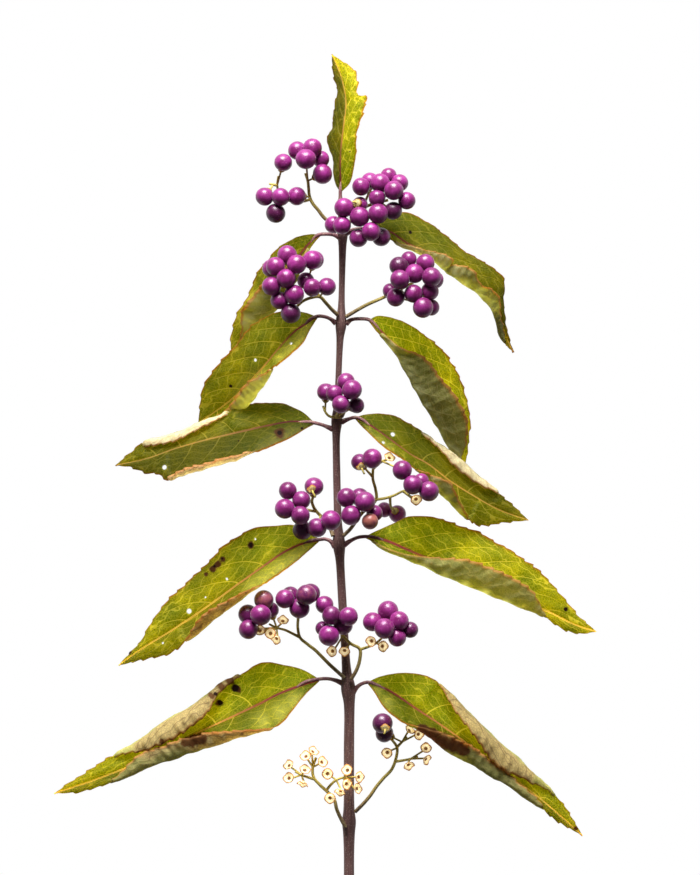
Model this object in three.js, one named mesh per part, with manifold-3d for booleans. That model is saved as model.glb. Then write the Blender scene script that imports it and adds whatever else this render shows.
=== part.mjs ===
// A cut branch of purple beautyberry, laid down on a surface.
// Millimetres. +X is to the right, +Y runs up the branch to its end leaf, +Z is up from the surface,
// which is z = 0. A viewer looks down on it. The origin is under the middle of the branch.

import * as THREE from "three";
import { mergeVertices } from "three/addons/utils/BufferGeometryUtils.js";
import Module from "manifold-3d";

const wasm = await Module();
wasm.setup();

// Driving dimensions
const BLADE = 0.6; // thickness of a leaf blade
const TOOTH = 0.65; // how far a tooth stands out of the margin
const TOOTHED_FROM = 0.3; // share of the margin, from the base, that has no teeth
const TOOTH_PEAK = 0.72; // where a tooth is highest, as a share of the way to the next
const STATIONS = 10; // cross sections along a leaf
const STATION_RANGE = [0.03, 0.94]; // reach of the first and the last
const RAIL_SAMPLES = 160;
const ACROSS = [0, 0.36, 0.72, 1]; // places from rib to margin, as shares of that way
const CAMBER = 0.5; // how far a flat half blade swells towards the viewer
const ROLL_STARTS = [1.2, 3]; // distances from shoulder to margin over which a roll comes up
const ROLL_ENDS = [0.72, 0.9]; // reach over which a roll opens out again towards the tip
const ROLL_HEIGHT = 1.8; // how far a rolled margin stands above the blade it rolls in from
const SLENDER = [3, 8]; // below this width a blade has no teeth, from it on each point has its own normal
const RIB = 0.42; // radius of the midrib where the petiole runs into it
const PETIOLE = 0.5; // radius of a petiole
const PETIOLE_END = 0.13; // how far along the rib the petiole stands out under the blade
const TWIG = 0.42; // radius of the main stalk of a cyme
const SIDE_TWIG = 0.36; // and of its side twigs
const PEDICEL = 0.3; // radius of the stalk of one berry
const CALYX = 0.85; // radius of the calyx under a berry
const CALYX_HEIGHT = 0.75;
const OPEN_CALYX = 0.95; // radius of a dry calyx that has lost its berry
const PRESS = 0.4; // how far two touching berries are pressed into each other
const ROUND = 1.08; // corners of a faceted berry, beside its true radius
const LAYER = 1.2; // height between berries one step of depth apart, before they settle
const SETTLING_ROUNDS = 300;
const LONGEST_PEDICEL = 4.5;
const GAP = 0.3; // clearance between pieces

const wood = { color: 0x6b4c48, roughness: 0.8, metalness: 0 };
const blade = { color: 0x8b9c22, roughness: 0.55, metalness: 0 };
const berrySkin = { color: 0x7a1f7a, roughness: 0.3, metalness: 0 };
const stalkSkin = { color: 0x8a7c3c, roughness: 0.75, metalness: 0 };

// Stem: x, y, z of the centre and radius, from the cut end to the tip. It swells at each node.
const stemLine = [
  [4.8, -83.4, 0.95, 1.05],
  [4.8, -76, 1.7, 1.05],
  [4.8, -71.9, 2.2, 1.2],
  [4.8, -69.6, 2.5, 1.4],
  [4.8, -67, 2.8, 1.12],
  [4.8, -55, 4.1, 1.05],
  [4.85, -46, 5.1, 1.1],
  [4.65, -42.8, 5.5, 1.45],
  [4.3, -39, 5.9, 0.95],
  [3.45, -25, 7.2, 0.85],
  [3.0, -17, 7.8, 0.9],
  [2.8, -13.8, 8, 1.25],
  [2.6, -10, 8.2, 0.85],
  [2.35, 0, 8.9, 0.75],
  [2.25, 8, 9.4, 0.8],
  [2.35, 10.8, 9.5, 1.1],
  [2.5, 14, 9.7, 0.75],
  [3.0, 27, 10.4, 0.72],
  [3.2, 30.2, 10.5, 1.1],
  [3.3, 34, 10.6, 0.68],
  [3.5, 45.5, 10.9, 0.78],
  [3.5, 48.4, 11, 1.05],
  [3.3, 51.5, 11, 0.7],
  [3.1, 55, 11.1, 0.6],
];

// Leaves: every blade is laid over rails that run from its base to its tip. The rib is the midrib.
// The far half is the one that sinks towards the surface and the near half the one that stands up
// from it. A half is a margin and, where it rolls over, a shoulder, which is the outside of the roll.
const leaves = {
  leaf_end: {
    petiole: [[3.1, 55.6, 11.1], [3.1, 57, 11.5]],
    rib: [
      [3.1, 56.4, 11.3], [3.05, 64, 12.3], [3.7, 70, 12], [4.1, 74.5, 11], [3.2, 79.5, 9],
      [1.3, 83.6, 6.8],
    ],
    far: {
      margin: [
        [3.1, 56.4, 11.3], [1.95, 58.5, 9.8], [1.6, 62.5, 8.8], [0.5, 67.6, 8.3], [1.4, 69.6, 8.2],
        [1.8, 73, 7.8], [2.4, 77, 7.2], [1.7, 80.5, 6.8], [1.3, 83.6, 6.8],
      ],
    },
    near: {
      margin: [
        [3.1, 56.4, 11.3], [4.9, 58.3, 13.2], [6, 63, 15.4], [6.2, 69, 16], [7.4, 73, 15.2],
        [8.2, 75.4, 14.2],
        [6.4, 76, 12.8], [6.4, 78.4, 11.6], [5.9, 80.8, 10], [3.9, 82.3, 8.4], [1.3, 83.6, 6.8],
      ],
    },
  },
  leaf_left_2: {
    petiole: [[3, 47.4, 11], [1.9, 47.9, 11.1], [0.2, 48.1, 11.2], [-1.6, 47.8, 11]],
    rib: [
      [-1, 48, 11.1], [-3.5, 45.9, 10.8], [-6.5, 42, 9.5], [-10, 37, 6.6], [-13, 32.8, 3.7],
      [-16, 28.6, 1.2], [-17.5, 26.4, 0.3], [-18.5, 25, 0.3],
    ],
    far: {
      margin: [
        [-1, 48, 11.1], [-3, 48.1, 10], [-5.5, 47.7, 8.3], [-9.5, 45.4, 5.5], [-13.5, 40.2, 3.2],
        [-15.5, 36, 2],
        [-18, 31.5, 1.1], [-18.8, 28.2, 0.3], [-18.9, 27, 0.3], [-18.5, 25, 0.3],
      ],
    },
    near: {
      shoulder: [
        [-1, 48, 11.1], [-3.6, 44.2, 11.8], [-5.5, 39.5, 10.6], [-8.2, 35, 7.2], [-11.5, 31.2, 3.6],
        [-14.5, 28, 1.6],
        [-16.6, 26.2, 0.3], [-18.5, 25, 0.3],
      ],
      margin: [
        [-1, 48, 11.1], [-4.6, 43.8, 12.8], [-8.3, 41, 11.6], [-12, 38.5, 9], [-14.5, 36, 7],
        [-16.6, 32.5, 4.6],
        [-16.6, 29.2, 2.4], [-17.2, 26.6, 0.3], [-18.5, 25, 0.3],
      ],
    },
  },
  leaf_left_3: {
    petiole: [[2.2, 30.3, 10.5], [1.2, 31.1, 10.6], [0, 31.6, 10.7], [-1.5, 31.7, 10.8], [-3, 31, 10.8]],
    rib: [
      [-2.5, 31.3, 10.8], [-6, 28.7, 10.9], [-9.5, 25, 10.1], [-12.5, 21.5, 8.6], [-16.2, 17.6, 5.4],
      [-19.2, 14.8, 3.2], [-22.5, 12.4, 1.6], [-25, 10.8, 0.8],
    ],
    far: {
      margin: [
        [-2.5, 31.3, 10.8], [-4, 32.5, 9.6], [-7, 32.9, 8.2], [-10.5, 32.2, 7.1], [-14.5, 29.8, 6],
        [-18, 26, 4.8], [-21, 22.5, 3.6], [-24.2, 18, 2.2], [-25, 14.5, 1.3], [-25, 10.8, 0.9],
      ],
    },
    near: {
      margin: [
        [-2.5, 31.3, 10.8], [-3.1, 29, 12.6], [-4.3, 26.8, 14.6], [-5.9, 25, 15.8], [-8, 23.2, 15.8],
        [-10.3, 21.3, 14.2], [-12.5, 18.5, 11.4], [-14.4, 15.8, 6.4], [-17, 13.8, 3.2], [-21, 11.8, 1.6],
        [-25, 10.8, 0.9],
      ],
    },
  },
  leaf_left_4: {
    petiole: [[1.5, 9.2, 9.4], [0.5, 9.6, 9.6], [-0.5, 10, 9.7], [-2, 10.4, 9.8], [-3.5, 10.6, 9.9]],
    rib: [
      [-2, 10.4, 9.8], [-6.5, 10.75, 10.2], [-11, 10, 9.9], [-17, 8.7, 9], [-24, 7.1, 7.2],
      [-30, 5.4, 5.4],
      [-35.5, 3.4, 3.4], [-41.6, 2, 1.2],
    ],
    far: {
      shoulder: [
        [-2, 10.4, 9.8], [-6, 12.4, 7.6], [-12, 12.5, 6.4], [-18, 11.2, 5.6], [-23, 9.7, 4.4],
        [-27.5, 9, 3.2],
        [-32, 7.6, 2.5], [-36.5, 5.4, 1.9], [-41.6, 2, 1.2],
      ],
      margin: [
        [-2, 10.4, 9.8], [-4, 12.2, 7.6], [-8, 14.2, 5.4], [-13, 14.5, 5.6], [-17.5, 13.6, 5.4],
        [-23, 11, 4.4],
        [-27.5, 8.1, 5.2], [-31.5, 6.4, 4.6], [-36, 5.9, 2], [-39, 4.5, 1.2], [-41.6, 2, 1.2],
      ],
    },
    near: {
      margin: [
        [-2, 10.4, 9.8], [-3.5, 9.6, 11.2], [-7, 7.5, 14], [-11.5, 5.5, 15.6], [-16.5, 4.3, 15.8],
        [-22, 2.9, 14.4], [-28, 1.2, 11.4], [-31.5, -0.6, 8.6], [-33.3, 0.4, 6.6], [-36, 0.5, 4.5],
        [-39, 1.6, 2.4], [-41.6, 2, 1.2],
      ],
    },
  },
  leaf_left_5: {
    petiole: [[2, -14.4, 8], [1.2, -13.3, 8.1], [0, -12.8, 8.2], [-1, -12.9, 8.3], [-2.5, -13.1, 8.4]],
    rib: [
      [-1, -13, 8.3], [-5, -13.9, 8.7], [-8, -15.3, 8.6], [-12, -18, 8.1], [-17, -21.5, 7.1],
      [-24, -26.6, 5.2],
      [-31, -31.3, 3.1], [-37, -35, 1.6], [-41.1, -38, 0.8],
    ],
    far: {
      margin: [
        [-1, -13, 8.3], [-3.5, -11, 7.2], [-6, -10.1, 6.4], [-10, -10.1, 5.2], [-14, -10.7, 4.3],
        [-18, -12.7, 3.6], [-22, -16, 3], [-27, -21, 2.2], [-32, -26, 1.5], [-35, -29.8, 1.1],
        [-37, -33.3, 0.9], [-41.1, -38, 0.8],
      ],
    },
    near: {
      shoulder: [
        [-1, -13, 8.3], [-6, -16.2, 10.6], [-11, -19.5, 11], [-15, -22.8, 11], [-18.5, -25.9, 10],
        [-22, -28.6, 8.4], [-26, -32, 5.9], [-31, -34.2, 3.6], [-41.1, -38, 0.8],
      ],
      margin: [
        [-1, -13, 8.3], [-3, -14.8, 9.7], [-7, -18, 12], [-11, -20.7, 13.2], [-14.5, -22.9, 13.2],
        [-18, -24.6, 12.3], [-22, -27, 10.8], [-25.5, -29.9, 8.9], [-28, -33.2, 6.2], [-31, -35.8, 4.1],
        [-35, -36.6, 2.4], [-41.1, -38, 0.8],
      ],
    },
  },
  leaf_left_6: {
    petiole: [[3.6, -41.8, 5.5], [2.3, -41.2, 5.7], [0.5, -40.8, 5.8], [-2, -41, 5.9], [-4, -41.5, 6]],
    rib: [
      [-2.6, -41.1, 5.9], [-8, -43.3, 6.3], [-14, -46.2, 6.2], [-20, -49, 5.6], [-26, -51.8, 4.8],
      [-33, -55.5, 3.6], [-40.5, -59, 2.3], [-47, -61.5, 1.3], [-54, -63.8, 0.7],
    ],
    far: {
      shoulder: [
        [-2.6, -41.1, 5.9], [-6, -40.4, 5.2], [-12, -41.2, 4.6], [-17, -42.1, 3.6], [-21.5, -43, 2.8],
        [-27, -46.6, 2.8], [-31.5, -49.2, 2.6], [-35.5, -52.2, 2.2], [-40, -55.2, 1.6], [-46, -58.8, 1.1],
        [-54, -63.8, 0.7],
      ],
      margin: [
        [-2.6, -41.1, 5.9], [-4.5, -39, 5.2], [-8.5, -38, 4.2], [-12.5, -37.7, 3.4], [-16, -39.4, 3.2],
        [-20, -42.8, 4.8], [-23, -46.6, 6.6], [-26.5, -50, 6.9], [-31, -53, 6.2], [-35, -55, 5],
        [-38.5, -55.6, 3.2], [-43, -57.4, 1.7], [-48, -59.8, 1.2], [-54, -63.8, 0.7],
      ],
    },
    near: {
      shoulder: [
        [-2.6, -41.1, 5.9], [-6, -45, 8.4], [-9.5, -48.6, 9.6], [-13.5, -50.9, 10], [-18, -52.4, 9.6],
        [-23, -54.4, 8.4], [-27, -55.4, 7], [-33, -56.8, 4.8], [-40, -60, 2.8], [-47, -62.4, 1.5],
        [-54, -63.8, 0.7],
      ],
      margin: [
        [-2.6, -41.1, 5.9], [-4, -43.8, 8], [-6.5, -46.8, 10.4], [-9.5, -50, 12], [-13, -50.8, 12.4],
        [-17, -51, 12], [-21, -51.4, 11], [-25, -52, 9.8], [-29, -55, 7.4], [-33, -57.3, 5.6],
        [-38, -59.5, 4], [-44, -62.2, 2.4], [-49, -63.5, 1.4], [-54, -63.8, 0.7],
      ],
    },
  },
  leaf_right_2: {
    petiole: [[4.3, 48.3, 11], [5.8, 49, 11], [7.5, 49.2, 10.9], [9.5, 49.1, 10.9]],
    rib: [
      [7.5, 49.2, 10.9], [12.7, 48.7, 11.1], [16.5, 46.3, 11.1], [21, 44.3, 10.6], [26, 41.4, 9.2],
      [30.6, 37.9, 6.8], [34.5, 33.4, 3.6], [36, 28.9, 1.1], [36.8, 26.8, 0.3],
      [37.4, 24.9, 0.3],
    ],
    far: {
      margin: [
        [7.5, 49.2, 10.9], [10.5, 51.3, 9.3], [13.5, 52.3, 8], [17, 52.4, 6.6], [20.5, 50.8, 5.6],
        [24.5, 47.8, 4.6], [29, 44.1, 3.8], [34.7, 40.9, 3.2], [36, 38.6, 3], [35.8, 35, 2.7],
        [36.2, 30.8, 1.3], [36.9, 27.6, 0.3], [37.4, 24.9, 0.3],
      ],
    },
    near: {
      shoulder: [
        [7.5, 49.2, 10.9], [12.9, 47.1, 11.9], [17, 44.9, 12.2], [22.5, 41.8, 11.8], [26, 39.5, 10.8],
        [30, 36.8, 8.6], [33, 33.7, 5.4], [34.6, 30.5, 2.2], [35.7, 26.8, 0.3], [37.4, 24.9, 0.3],
      ],
      margin: [
        [7.5, 49.2, 10.9], [12, 47.7, 12.8], [16.5, 46.1, 13.8], [21, 44.9, 13.8], [24.5, 43.4, 13.2],
        [27, 41.7, 12.4], [30, 40.1, 10.8], [31, 37.9, 9.6], [33.5, 36.4, 7.6], [35, 33.4, 4.9],
        [35.2, 30, 2.2], [36.1, 27, 0.3], [37.4, 24.9, 0.3],
      ],
    },
  },
  leaf_right_3: {
    petiole: [[4.2, 30.2, 10.5], [5.2, 31, 10.7], [7.2, 31.2, 10.9], [8.8, 31, 11], [10, 30, 11.1]],
    rib: [
      [8.8, 31, 11], [11, 28.9, 11.2], [12.6, 27.2, 11], [15.5, 23.6, 9.8], [18.5, 19.4, 8.2],
      [21.5, 14.8, 6.2], [24, 9.8, 3.6], [26, 5.6, 1.6], [27.8, 2.4, 0.8],
    ],
    far: {
      margin: [
        [8.8, 31, 11], [10.5, 31.8, 10], [14.5, 31.2, 7.8], [18.5, 29.2, 6], [21.5, 26.8, 4.9],
        [24.5, 23.5, 3.8],
        [26.5, 20.5, 3], [28.3, 16, 2.2], [29, 11.5, 1.5], [28.8, 7, 1.1], [27.8, 2.4, 0.8],
      ],
    },
    near: {
      shoulder: [
        [8.8, 31, 11], [11, 28, 12.6], [13.8, 24.8, 12.8], [16.3, 20.2, 12], [19.5, 14.5, 9.6],
        [23, 8.8, 5],
        [25.3, 4.8, 2.1], [27.8, 2.4, 0.8],
      ],
      margin: [
        [8.8, 31, 11], [10.8, 28.6, 13.4], [12.8, 27.2, 14.6], [15, 25.5, 14.6], [18.5, 24.1, 13],
        [21, 22, 11.2], [24, 18.5, 8.8], [26.5, 15, 6.6], [28.3, 10.7, 4.1], [28.3, 7.5, 2.7],
        [28.2, 4.5, 1.6], [27.8, 2.4, 0.8],
      ],
    },
  },
  leaf_right_4: {
    petiole: [[3.3, 10.6, 9.5], [4.5, 11.1, 9.7], [6, 11.5, 9.9], [7.5, 11, 10]],
    rib: [
      [6, 11.5, 9.9], [9, 10, 10.2], [13, 7.2, 10.1], [17, 4.3, 9.7], [20.7, 2.3, 9], [25, -1, 7.4],
      [30, -4.2, 5.2], [35, -7, 2.8], [40.4, -8.8, 0.9],
    ],
    far: {
      shoulder: [
        [6, 11.5, 9.9], [9.5, 11.1, 8.6], [13, 9.6, 7.6], [17, 7.2, 7], [21, 5, 6.2], [24.8, 4.1, 4.6],
        [28, 1.7, 3.6], [32, -1.9, 2.6], [36, -5.4, 1.8], [40.4, -8.8, 0.9],
      ],
      margin: [
        [6, 11.5, 9.9], [8, 12.1, 8.6], [11, 12.3, 6.8], [15, 11.4, 5.2], [19, 8.9, 4.8], [21.8, 6.3, 5],
        [25, 3, 6], [28, 0.4, 5.4], [32, -2.6, 4.1], [35, -4, 2.4], [37.2, -5.7, 1.4], [40.4, -8.8, 0.9],
      ],
    },
    near: {
      shoulder: [
        [6, 11.5, 9.9], [9.5, 8.2, 11.6], [14, 4.9, 12], [18.5, 1.2, 11.8], [22, -2, 10.8],
        [25, -5.8, 8.8],
        [28, -8.2, 6.8], [31, -8.8, 4.5], [35, -8.6, 2.6], [40.4, -8.8, 0.9],
      ],
      margin: [
        [6, 11.5, 9.9], [7.5, 9.8, 11.2], [11, 6.5, 13], [15, 3.6, 13.8], [19, 0.8, 13.6],
        [22.5, -0.6, 12.8],
        [25.2, -2.1, 11.6], [27.3, -5, 9.8], [29.5, -9, 7.2], [32, -10, 5], [35.5, -9.5, 2.9],
        [40.4, -8.8, 0.9],
      ],
    },
  },
  leaf_right_5: {
    petiole: [[3.8, -14, 8], [5, -13.2, 8.3], [6.5, -12.5, 8.4], [8, -12.3, 8.5], [10, -12.5, 8.7]],
    rib: [
      [8, -12.3, 8.5], [12, -13, 9], [16, -14.7, 9.2], [20, -16.4, 9], [27, -19, 8], [34, -22.2, 6.4],
      [40, -25.2, 4.4], [46, -28, 2.4], [50, -30, 1.4], [54, -31.3, 0.8],
    ],
    far: {
      margin: [
        [8, -12.3, 8.5], [10, -11.3, 8.1], [13, -10, 7.6], [17, -8.3, 6.8], [22, -8.5, 5.8],
        [28, -10.6, 4.6],
        [34.5, -13.7, 3.6], [40.5, -17.3, 2.6], [45, -21.5, 1.8], [47.7, -24.7, 1.3], [51, -28.4, 0.9],
        [54, -31.3, 0.8],
      ],
    },
    near: {
      shoulder: [
        [8, -12.3, 8.5], [12.5, -15.2, 10.6], [17.5, -17.1, 11.2], [23, -19.7, 11], [29, -22.3, 9.8],
        [35, -25, 7.8], [40.5, -27.2, 5.2], [46, -29.8, 2.8], [50, -31.2, 1.4], [54, -31.3, 0.8],
      ],
      margin: [
        [8, -12.3, 8.5], [12.5, -14.6, 12], [17.5, -15.9, 13.3], [24, -16.7, 13.4], [30, -17.4, 12.4],
        [35.5, -19.5, 10.4], [39.5, -21.9, 8.2], [43, -25.6, 5.3], [47, -28.9, 2.8], [54, -31.3, 0.8],
      ],
    },
  },
  leaf_right_6: {
    petiole: [
      [5.6, -43.6, 5.5], [6.2, -42.7, 5.7], [7.2, -41.9, 5.9], [8.5, -41.5, 6.1], [10, -41.9, 6.3],
    ],
    rib: [
      [8.5, -41.5, 6.1], [12.5, -43, 6.5], [18, -46.6, 6.3], [24, -50.5, 5.6], [30, -54.8, 4.6],
      [36, -59.4, 3.4], [42.5, -64.4, 2.1], [47.5, -68.7, 1.2], [51.3, -72.2, 0.7],
    ],
    far: {
      shoulder: [
        [8.5, -41.5, 6.1], [13, -41.6, 5.6], [18, -43.2, 4.8], [22.5, -44.2, 3.7], [26, -45.1, 3],
        [30.5, -49.2, 2.6], [34.6, -53.3, 2.2], [38.5, -56.8, 1.8], [43, -61, 1.3], [47.5, -65.9, 0.9],
        [51.3, -72.2, 0.7],
      ],
      margin: [
        [8.5, -41.5, 6.1], [11, -40.4, 5.2], [15, -39.7, 4.2], [19.5, -40, 3.5], [23, -42.2, 3.6],
        [25.5, -46, 5.6], [28.5, -50.5, 7], [31.5, -54.4, 6.8], [34.5, -57.2, 5.8], [38, -60.1, 4.4],
        [42, -62.2, 2.8], [47, -66.2, 1.4], [51.3, -72.2, 0.7],
      ],
    },
    near: {
      shoulder: [
        [8.5, -41.5, 6.1], [12, -45.4, 8.6], [16.5, -49.3, 9.8], [21.5, -53, 9], [25.5, -55.9, 7.6],
        [30, -57.9, 6], [35, -61, 4.4], [41, -65, 2.6], [46.5, -69.2, 1.4], [51.3, -72.2, 0.7],
      ],
      margin: [
        [8.5, -41.5, 6.1], [10, -43.4, 8.2], [12, -46.5, 10.4], [16, -49.4, 12], [20, -50.5, 12],
        [24, -51.7, 11], [28, -53, 10], [31.5, -56.5, 7.8], [35.5, -61, 5.4], [40, -64.2, 3.6],
        [46, -68.8, 1.8], [51.3, -72.2, 0.7],
      ],
    },
  },
};

// Cymes: twigs are the forked stalk, its main line first. Berries are x, y, radius and depth, where 0 is
// the middle of the bunch, a higher number is nearer the viewer and a lower one is behind. height is
// that of the middle of the bunch. Berries of a bunch touch. bare lists x, y, z of dry open calyces.
const cymes = {
  a: {
    twigs: [
      [
        [2.3, 50, 11.4], [0.3, 50.9, 11.6], [-1.2, 52.7, 12], [-2.9, 55, 12.4], [-3.4, 58.6, 12.6],
        [-3.9, 60.2, 12.4],
      ],
      [[-2.9, 55, 12.9], [-5.2, 54.6, 10.9], [-8.6, 55.4, 10.6], [-9.5, 57.8, 11.6], [-9.3, 59.6, 12.6]],
      [[-9.5, 57.8, 11.6], [-11.1, 58.1, 12]],
    ],
    bunches: [
      {
        height: 14.4,
        berries: [
          [-5.5, 64.7, 1.8, -1], [-0.8, 63, 1.65, -1], [-2.5, 65.2, 1.85, 0], [-3.8, 62.9, 2, 1],
          [-0.5, 60, 1.95, 1],
        ],
      },
      {
        height: 13.6,
        berries: [
          [-12, 55.5, 1.8, 0], [-8.8, 55.4, 1.75, 1], [-5.6, 55.6, 1.8, 0], [-9.8, 52.2, 1.9, 0],
        ],
      },
      { height: 14, berries: [[-8.3, 62.3, 1.75, 0]] },
    ],
  },
  b: {
    twigs: [
      [[4.2, 49.6, 12.2], [5.6, 51.2, 12.6], [7.6, 53.2, 13], [10, 54.2, 13.2], [12.6, 54.8, 13.6]],
      [[7.6, 53.2, 13], [8.4, 55.4, 13.2], [9.2, 56.6, 13.4]],
    ],
    bunches: [
      {
        height: 16.8,
        berries: [
          [7.2, 57.4, 1.75, 1], [9, 58.6, 1.7, -1], [11, 58.1, 1.9, 0], [12.7, 59.6, 1.6, -2],
          [14.9, 58.2, 1.7, -1],
          [13.7, 56.6, 1.9, 1], [16.3, 54.6, 1.7, 0], [10.4, 55.1, 1.65, 0], [7, 53.9, 1.5, -2],
          [13.6, 52.6, 1.75, -1],
          [10.6, 52, 1.95, 1], [6.9, 51.4, 1.95, 1], [3.8, 53.2, 1.9, 0], [1.7, 49.9, 1.7, -2],
          [3.4, 49.7, 1.75, 0],
          [6.7, 47.2, 1.8, 0], [9.2, 48.4, 1.85, 1], [11.2, 47.4, 1.8, -1],
        ],
      },
    ],
  },
  c: {
    twigs: [
      [[2.5, 32, 11.6], [0.6, 33.8, 12.6], [-0.9, 35.5, 13.2], [-4, 34.9, 13.2], [-5.7, 33.5, 13.2]],
      [[-0.9, 35.5, 13.2], [-3.2, 38, 13.4], [-5, 39.8, 13.4]],
    ],
    bunches: [
      {
        height: 16.4,
        berries: [
          [-7.5, 43.8, 1.9, 0], [-9.8, 41.5, 1.85, 1], [-10.7, 41.2, 1.75, -2], [-5.6, 41.9, 1.9, 1],
          [-2.5, 42.8, 1.85, 0],
          [-2.1, 42.9, 1.85, -2], [-7.7, 39.1, 1.9, 1], [-3.8, 38.7, 1.65, -1], [-2.5, 37.3, 1.75, 1],
          [0.4, 37.5, 1.75, 0],
          [-10.6, 37.6, 1.85, 0], [-6.1, 35.9, 1.95, 1], [-9, 34.8, 1.75, 0], [-6.8, 32.2, 1.95, 0],
        ],
      },
    ],
  },
  d: {
    twigs: [
      [[4.2, 31.6, 11.4], [8, 33.8, 12.4], [11.6, 35.4, 12.9], [15, 37, 13.2], [17.6, 38.4, 13.2]],
      [[15, 37, 13.2], [17.6, 34.6, 13.2], [19.4, 34.6, 13.4]],
    ],
    bunches: [
      {
        height: 16.6,
        berries: [
          [16.7, 43, 1.55, -1], [14.7, 41.6, 1.85, 0], [20, 42.2, 1.8, 0], [17.8, 40.1, 1.9, 0],
          [14.9, 38.9, 1.9, 1],
          [21.2, 39.4, 1.9, 1], [21.9, 38.9, 1.7, -2], [13, 36.7, 1.5, -2], [14.1, 35.4, 1.8, 0],
          [17.6, 36.1, 1.8, 0],
          [20.9, 36.6, 1.75, 0], [19.5, 33.3, 2, 1], [21.2, 33.4, 1.6, -1],
        ],
      },
    ],
  },
  e: {
    twigs: [
      [[3.3, 11.6, 11], [3.8, 12.6, 11.4], [3.9, 15, 11.6]],
      [[3.3, 11.6, 11], [1.2, 11.6, 11], [0.2, 12.4, 11.4], [-0.4, 13.8, 11.8]],
    ],
    bunches: [
      {
        height: 14,
        berries: [
          [0.2, 16.6, 1.75, -1], [1.9, 16.3, 1.65, 0], [4.2, 18.6, 1.75, 0], [5.4, 17, 1.95, 1],
          [3.2, 14.1, 1.75, 1],
          [6.3, 13.9, 1.55, 0],
        ],
      },
    ],
  },
  f: {
    twigs: [
      [[1.6, -12.2, 8.8], [0.4, -9.4, 8], [-1.7, -7.3, 8.4], [-2.6, -5.5, 8.8], [-2.1, -3.8, 9.2]],
      [[-1.7, -7.3, 8.4], [-4.6, -6.6, 8], [-6.4, -5, 8.2]],
    ],
    bunches: [
      { height: 11.2, berries: [[-2.2, -2.3, 1.85, -1]] },
      {
        height: 12.2,
        berries: [
          [-7.4, -3.1, 1.75, 0], [-4.7, -5, 1.8, 1], [-8, -6.7, 1.95, 0], [-4.9, -8, 1.85, 1],
          [-4.5, -11, 1.9, -1],
          [-1.6, -10.5, 1.9, 0], [1.2, -9, 1.95, 1],
        ],
      },
    ],
  },
  g: {
    twigs: [
      [
        [3.6, -12.2, 9.2], [5.4, -10.4, 9.2], [7.2, -7.8, 9.4], [10.2, -4.9, 9.8], [9.5, -0.3, 10.2],
        [9.6, 1.2, 10.4],
      ],
      [[9.5, -0.3, 10.2], [8.2, 1.1, 10.2]],
      [[10.2, -4.9, 9.8], [13, -4.4, 10], [15.6, -3.2, 10.2], [17.4, -2.8, 10]],
      [[13, -4.4, 10], [13.1, -6, 8.6], [13.4, -6.8, 7.4]],
      [[15.6, -3.2, 10.2], [17.6, -4.8, 10.8]],
    ],
    bunches: [
      {
        height: 12.4,
        berries: [
          [6.9, -4.4, 1.8, -1], [9.9, -7.6, 1.6, -1], [4.3, -4.5, 1.9, 1], [8, -5.3, 2, 1],
          [5.2, -8, 1.95, 1], [9, -9.2, 1.6, 1],
        ],
      },
      { height: 12.6, berries: [[6.9, 2.6, 1.65, -1], [9.4, 3.3, 1.95, 1]] },
      {
        height: 16,
        berries: [
          [19.2, -1.15, 1.5, -1], [15.4, 1, 1.9, 0], [20.7, -3.2, 1.95, 0], [17.5, -1.9, 1.9, 1],
        ],
      },
      { height: 4.6, berries: [[11.9, -7, 1.5, -1], [14.5, -7.8, 1.7, 0]] },
    ],
  },
  h: {
    twigs: [
      [
        [3.9, -40.6, 7.2], [1, -38, 7.4], [-2, -35, 7.6], [-5, -32.5, 7.8], [-5.4, -31, 7.9],
        [-5.4, -28.6, 8],
      ],
      [[-5, -32.5, 7.8], [-8, -31, 8], [-9.8, -30.5, 8.2], [-11.2, -29.8, 8.2]],
    ],
    bunches: [
      {
        height: 11,
        berries: [
          [-15.4, -27.8, 1.9, -1], [-10.9, -27, 1.65, -1], [-12.2, -24.9, 1.9, 0],
          [-12.8, -27.9, 2.05, 1], [-15.3, -30.8, 1.9, 0],
        ],
      },
      {
        height: 11,
        berries: [
          [-6.9, -24, 1.7, -1], [-2.9, -23.6, 1.9, -1], [-8, -24.7, 1.85, 0], [-5.1, -26.6, 2, 0],
          [-3.7, -23.9, 2, 1],
        ],
      },
    ],
    bare: [[-13, -31, 10.6], [-10.9, -31.6, 10.2], [-9.8, -32.8, 9.8], [-8.4, -29, 9.6]],
  },
  i: {
    twigs: [
      [[5.2, -40.9, 7.6], [6.5, -38.5, 8], [7, -34.9, 8.2], [5, -33.6, 8.6], [2.2, -30.4, 8.9]],
      [[7, -34.9, 8.2], [9, -34.2, 8.3], [10.8, -33.2, 8.3], [12.6, -31, 8.2]],
    ],
    bunches: [
      {
        height: 11.2,
        berries: [
          [-0.1, -25.9, 1.75, -1], [-0.5, -30.6, 1.4, -1], [3.6, -30, 1.9, 0], [1.3, -28, 1.85, 1],
          [4.7, -28.2, 1.85, 1],
          [0.8, -32, 2.05, 1],
        ],
      },
      {
        height: 11.2,
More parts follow.
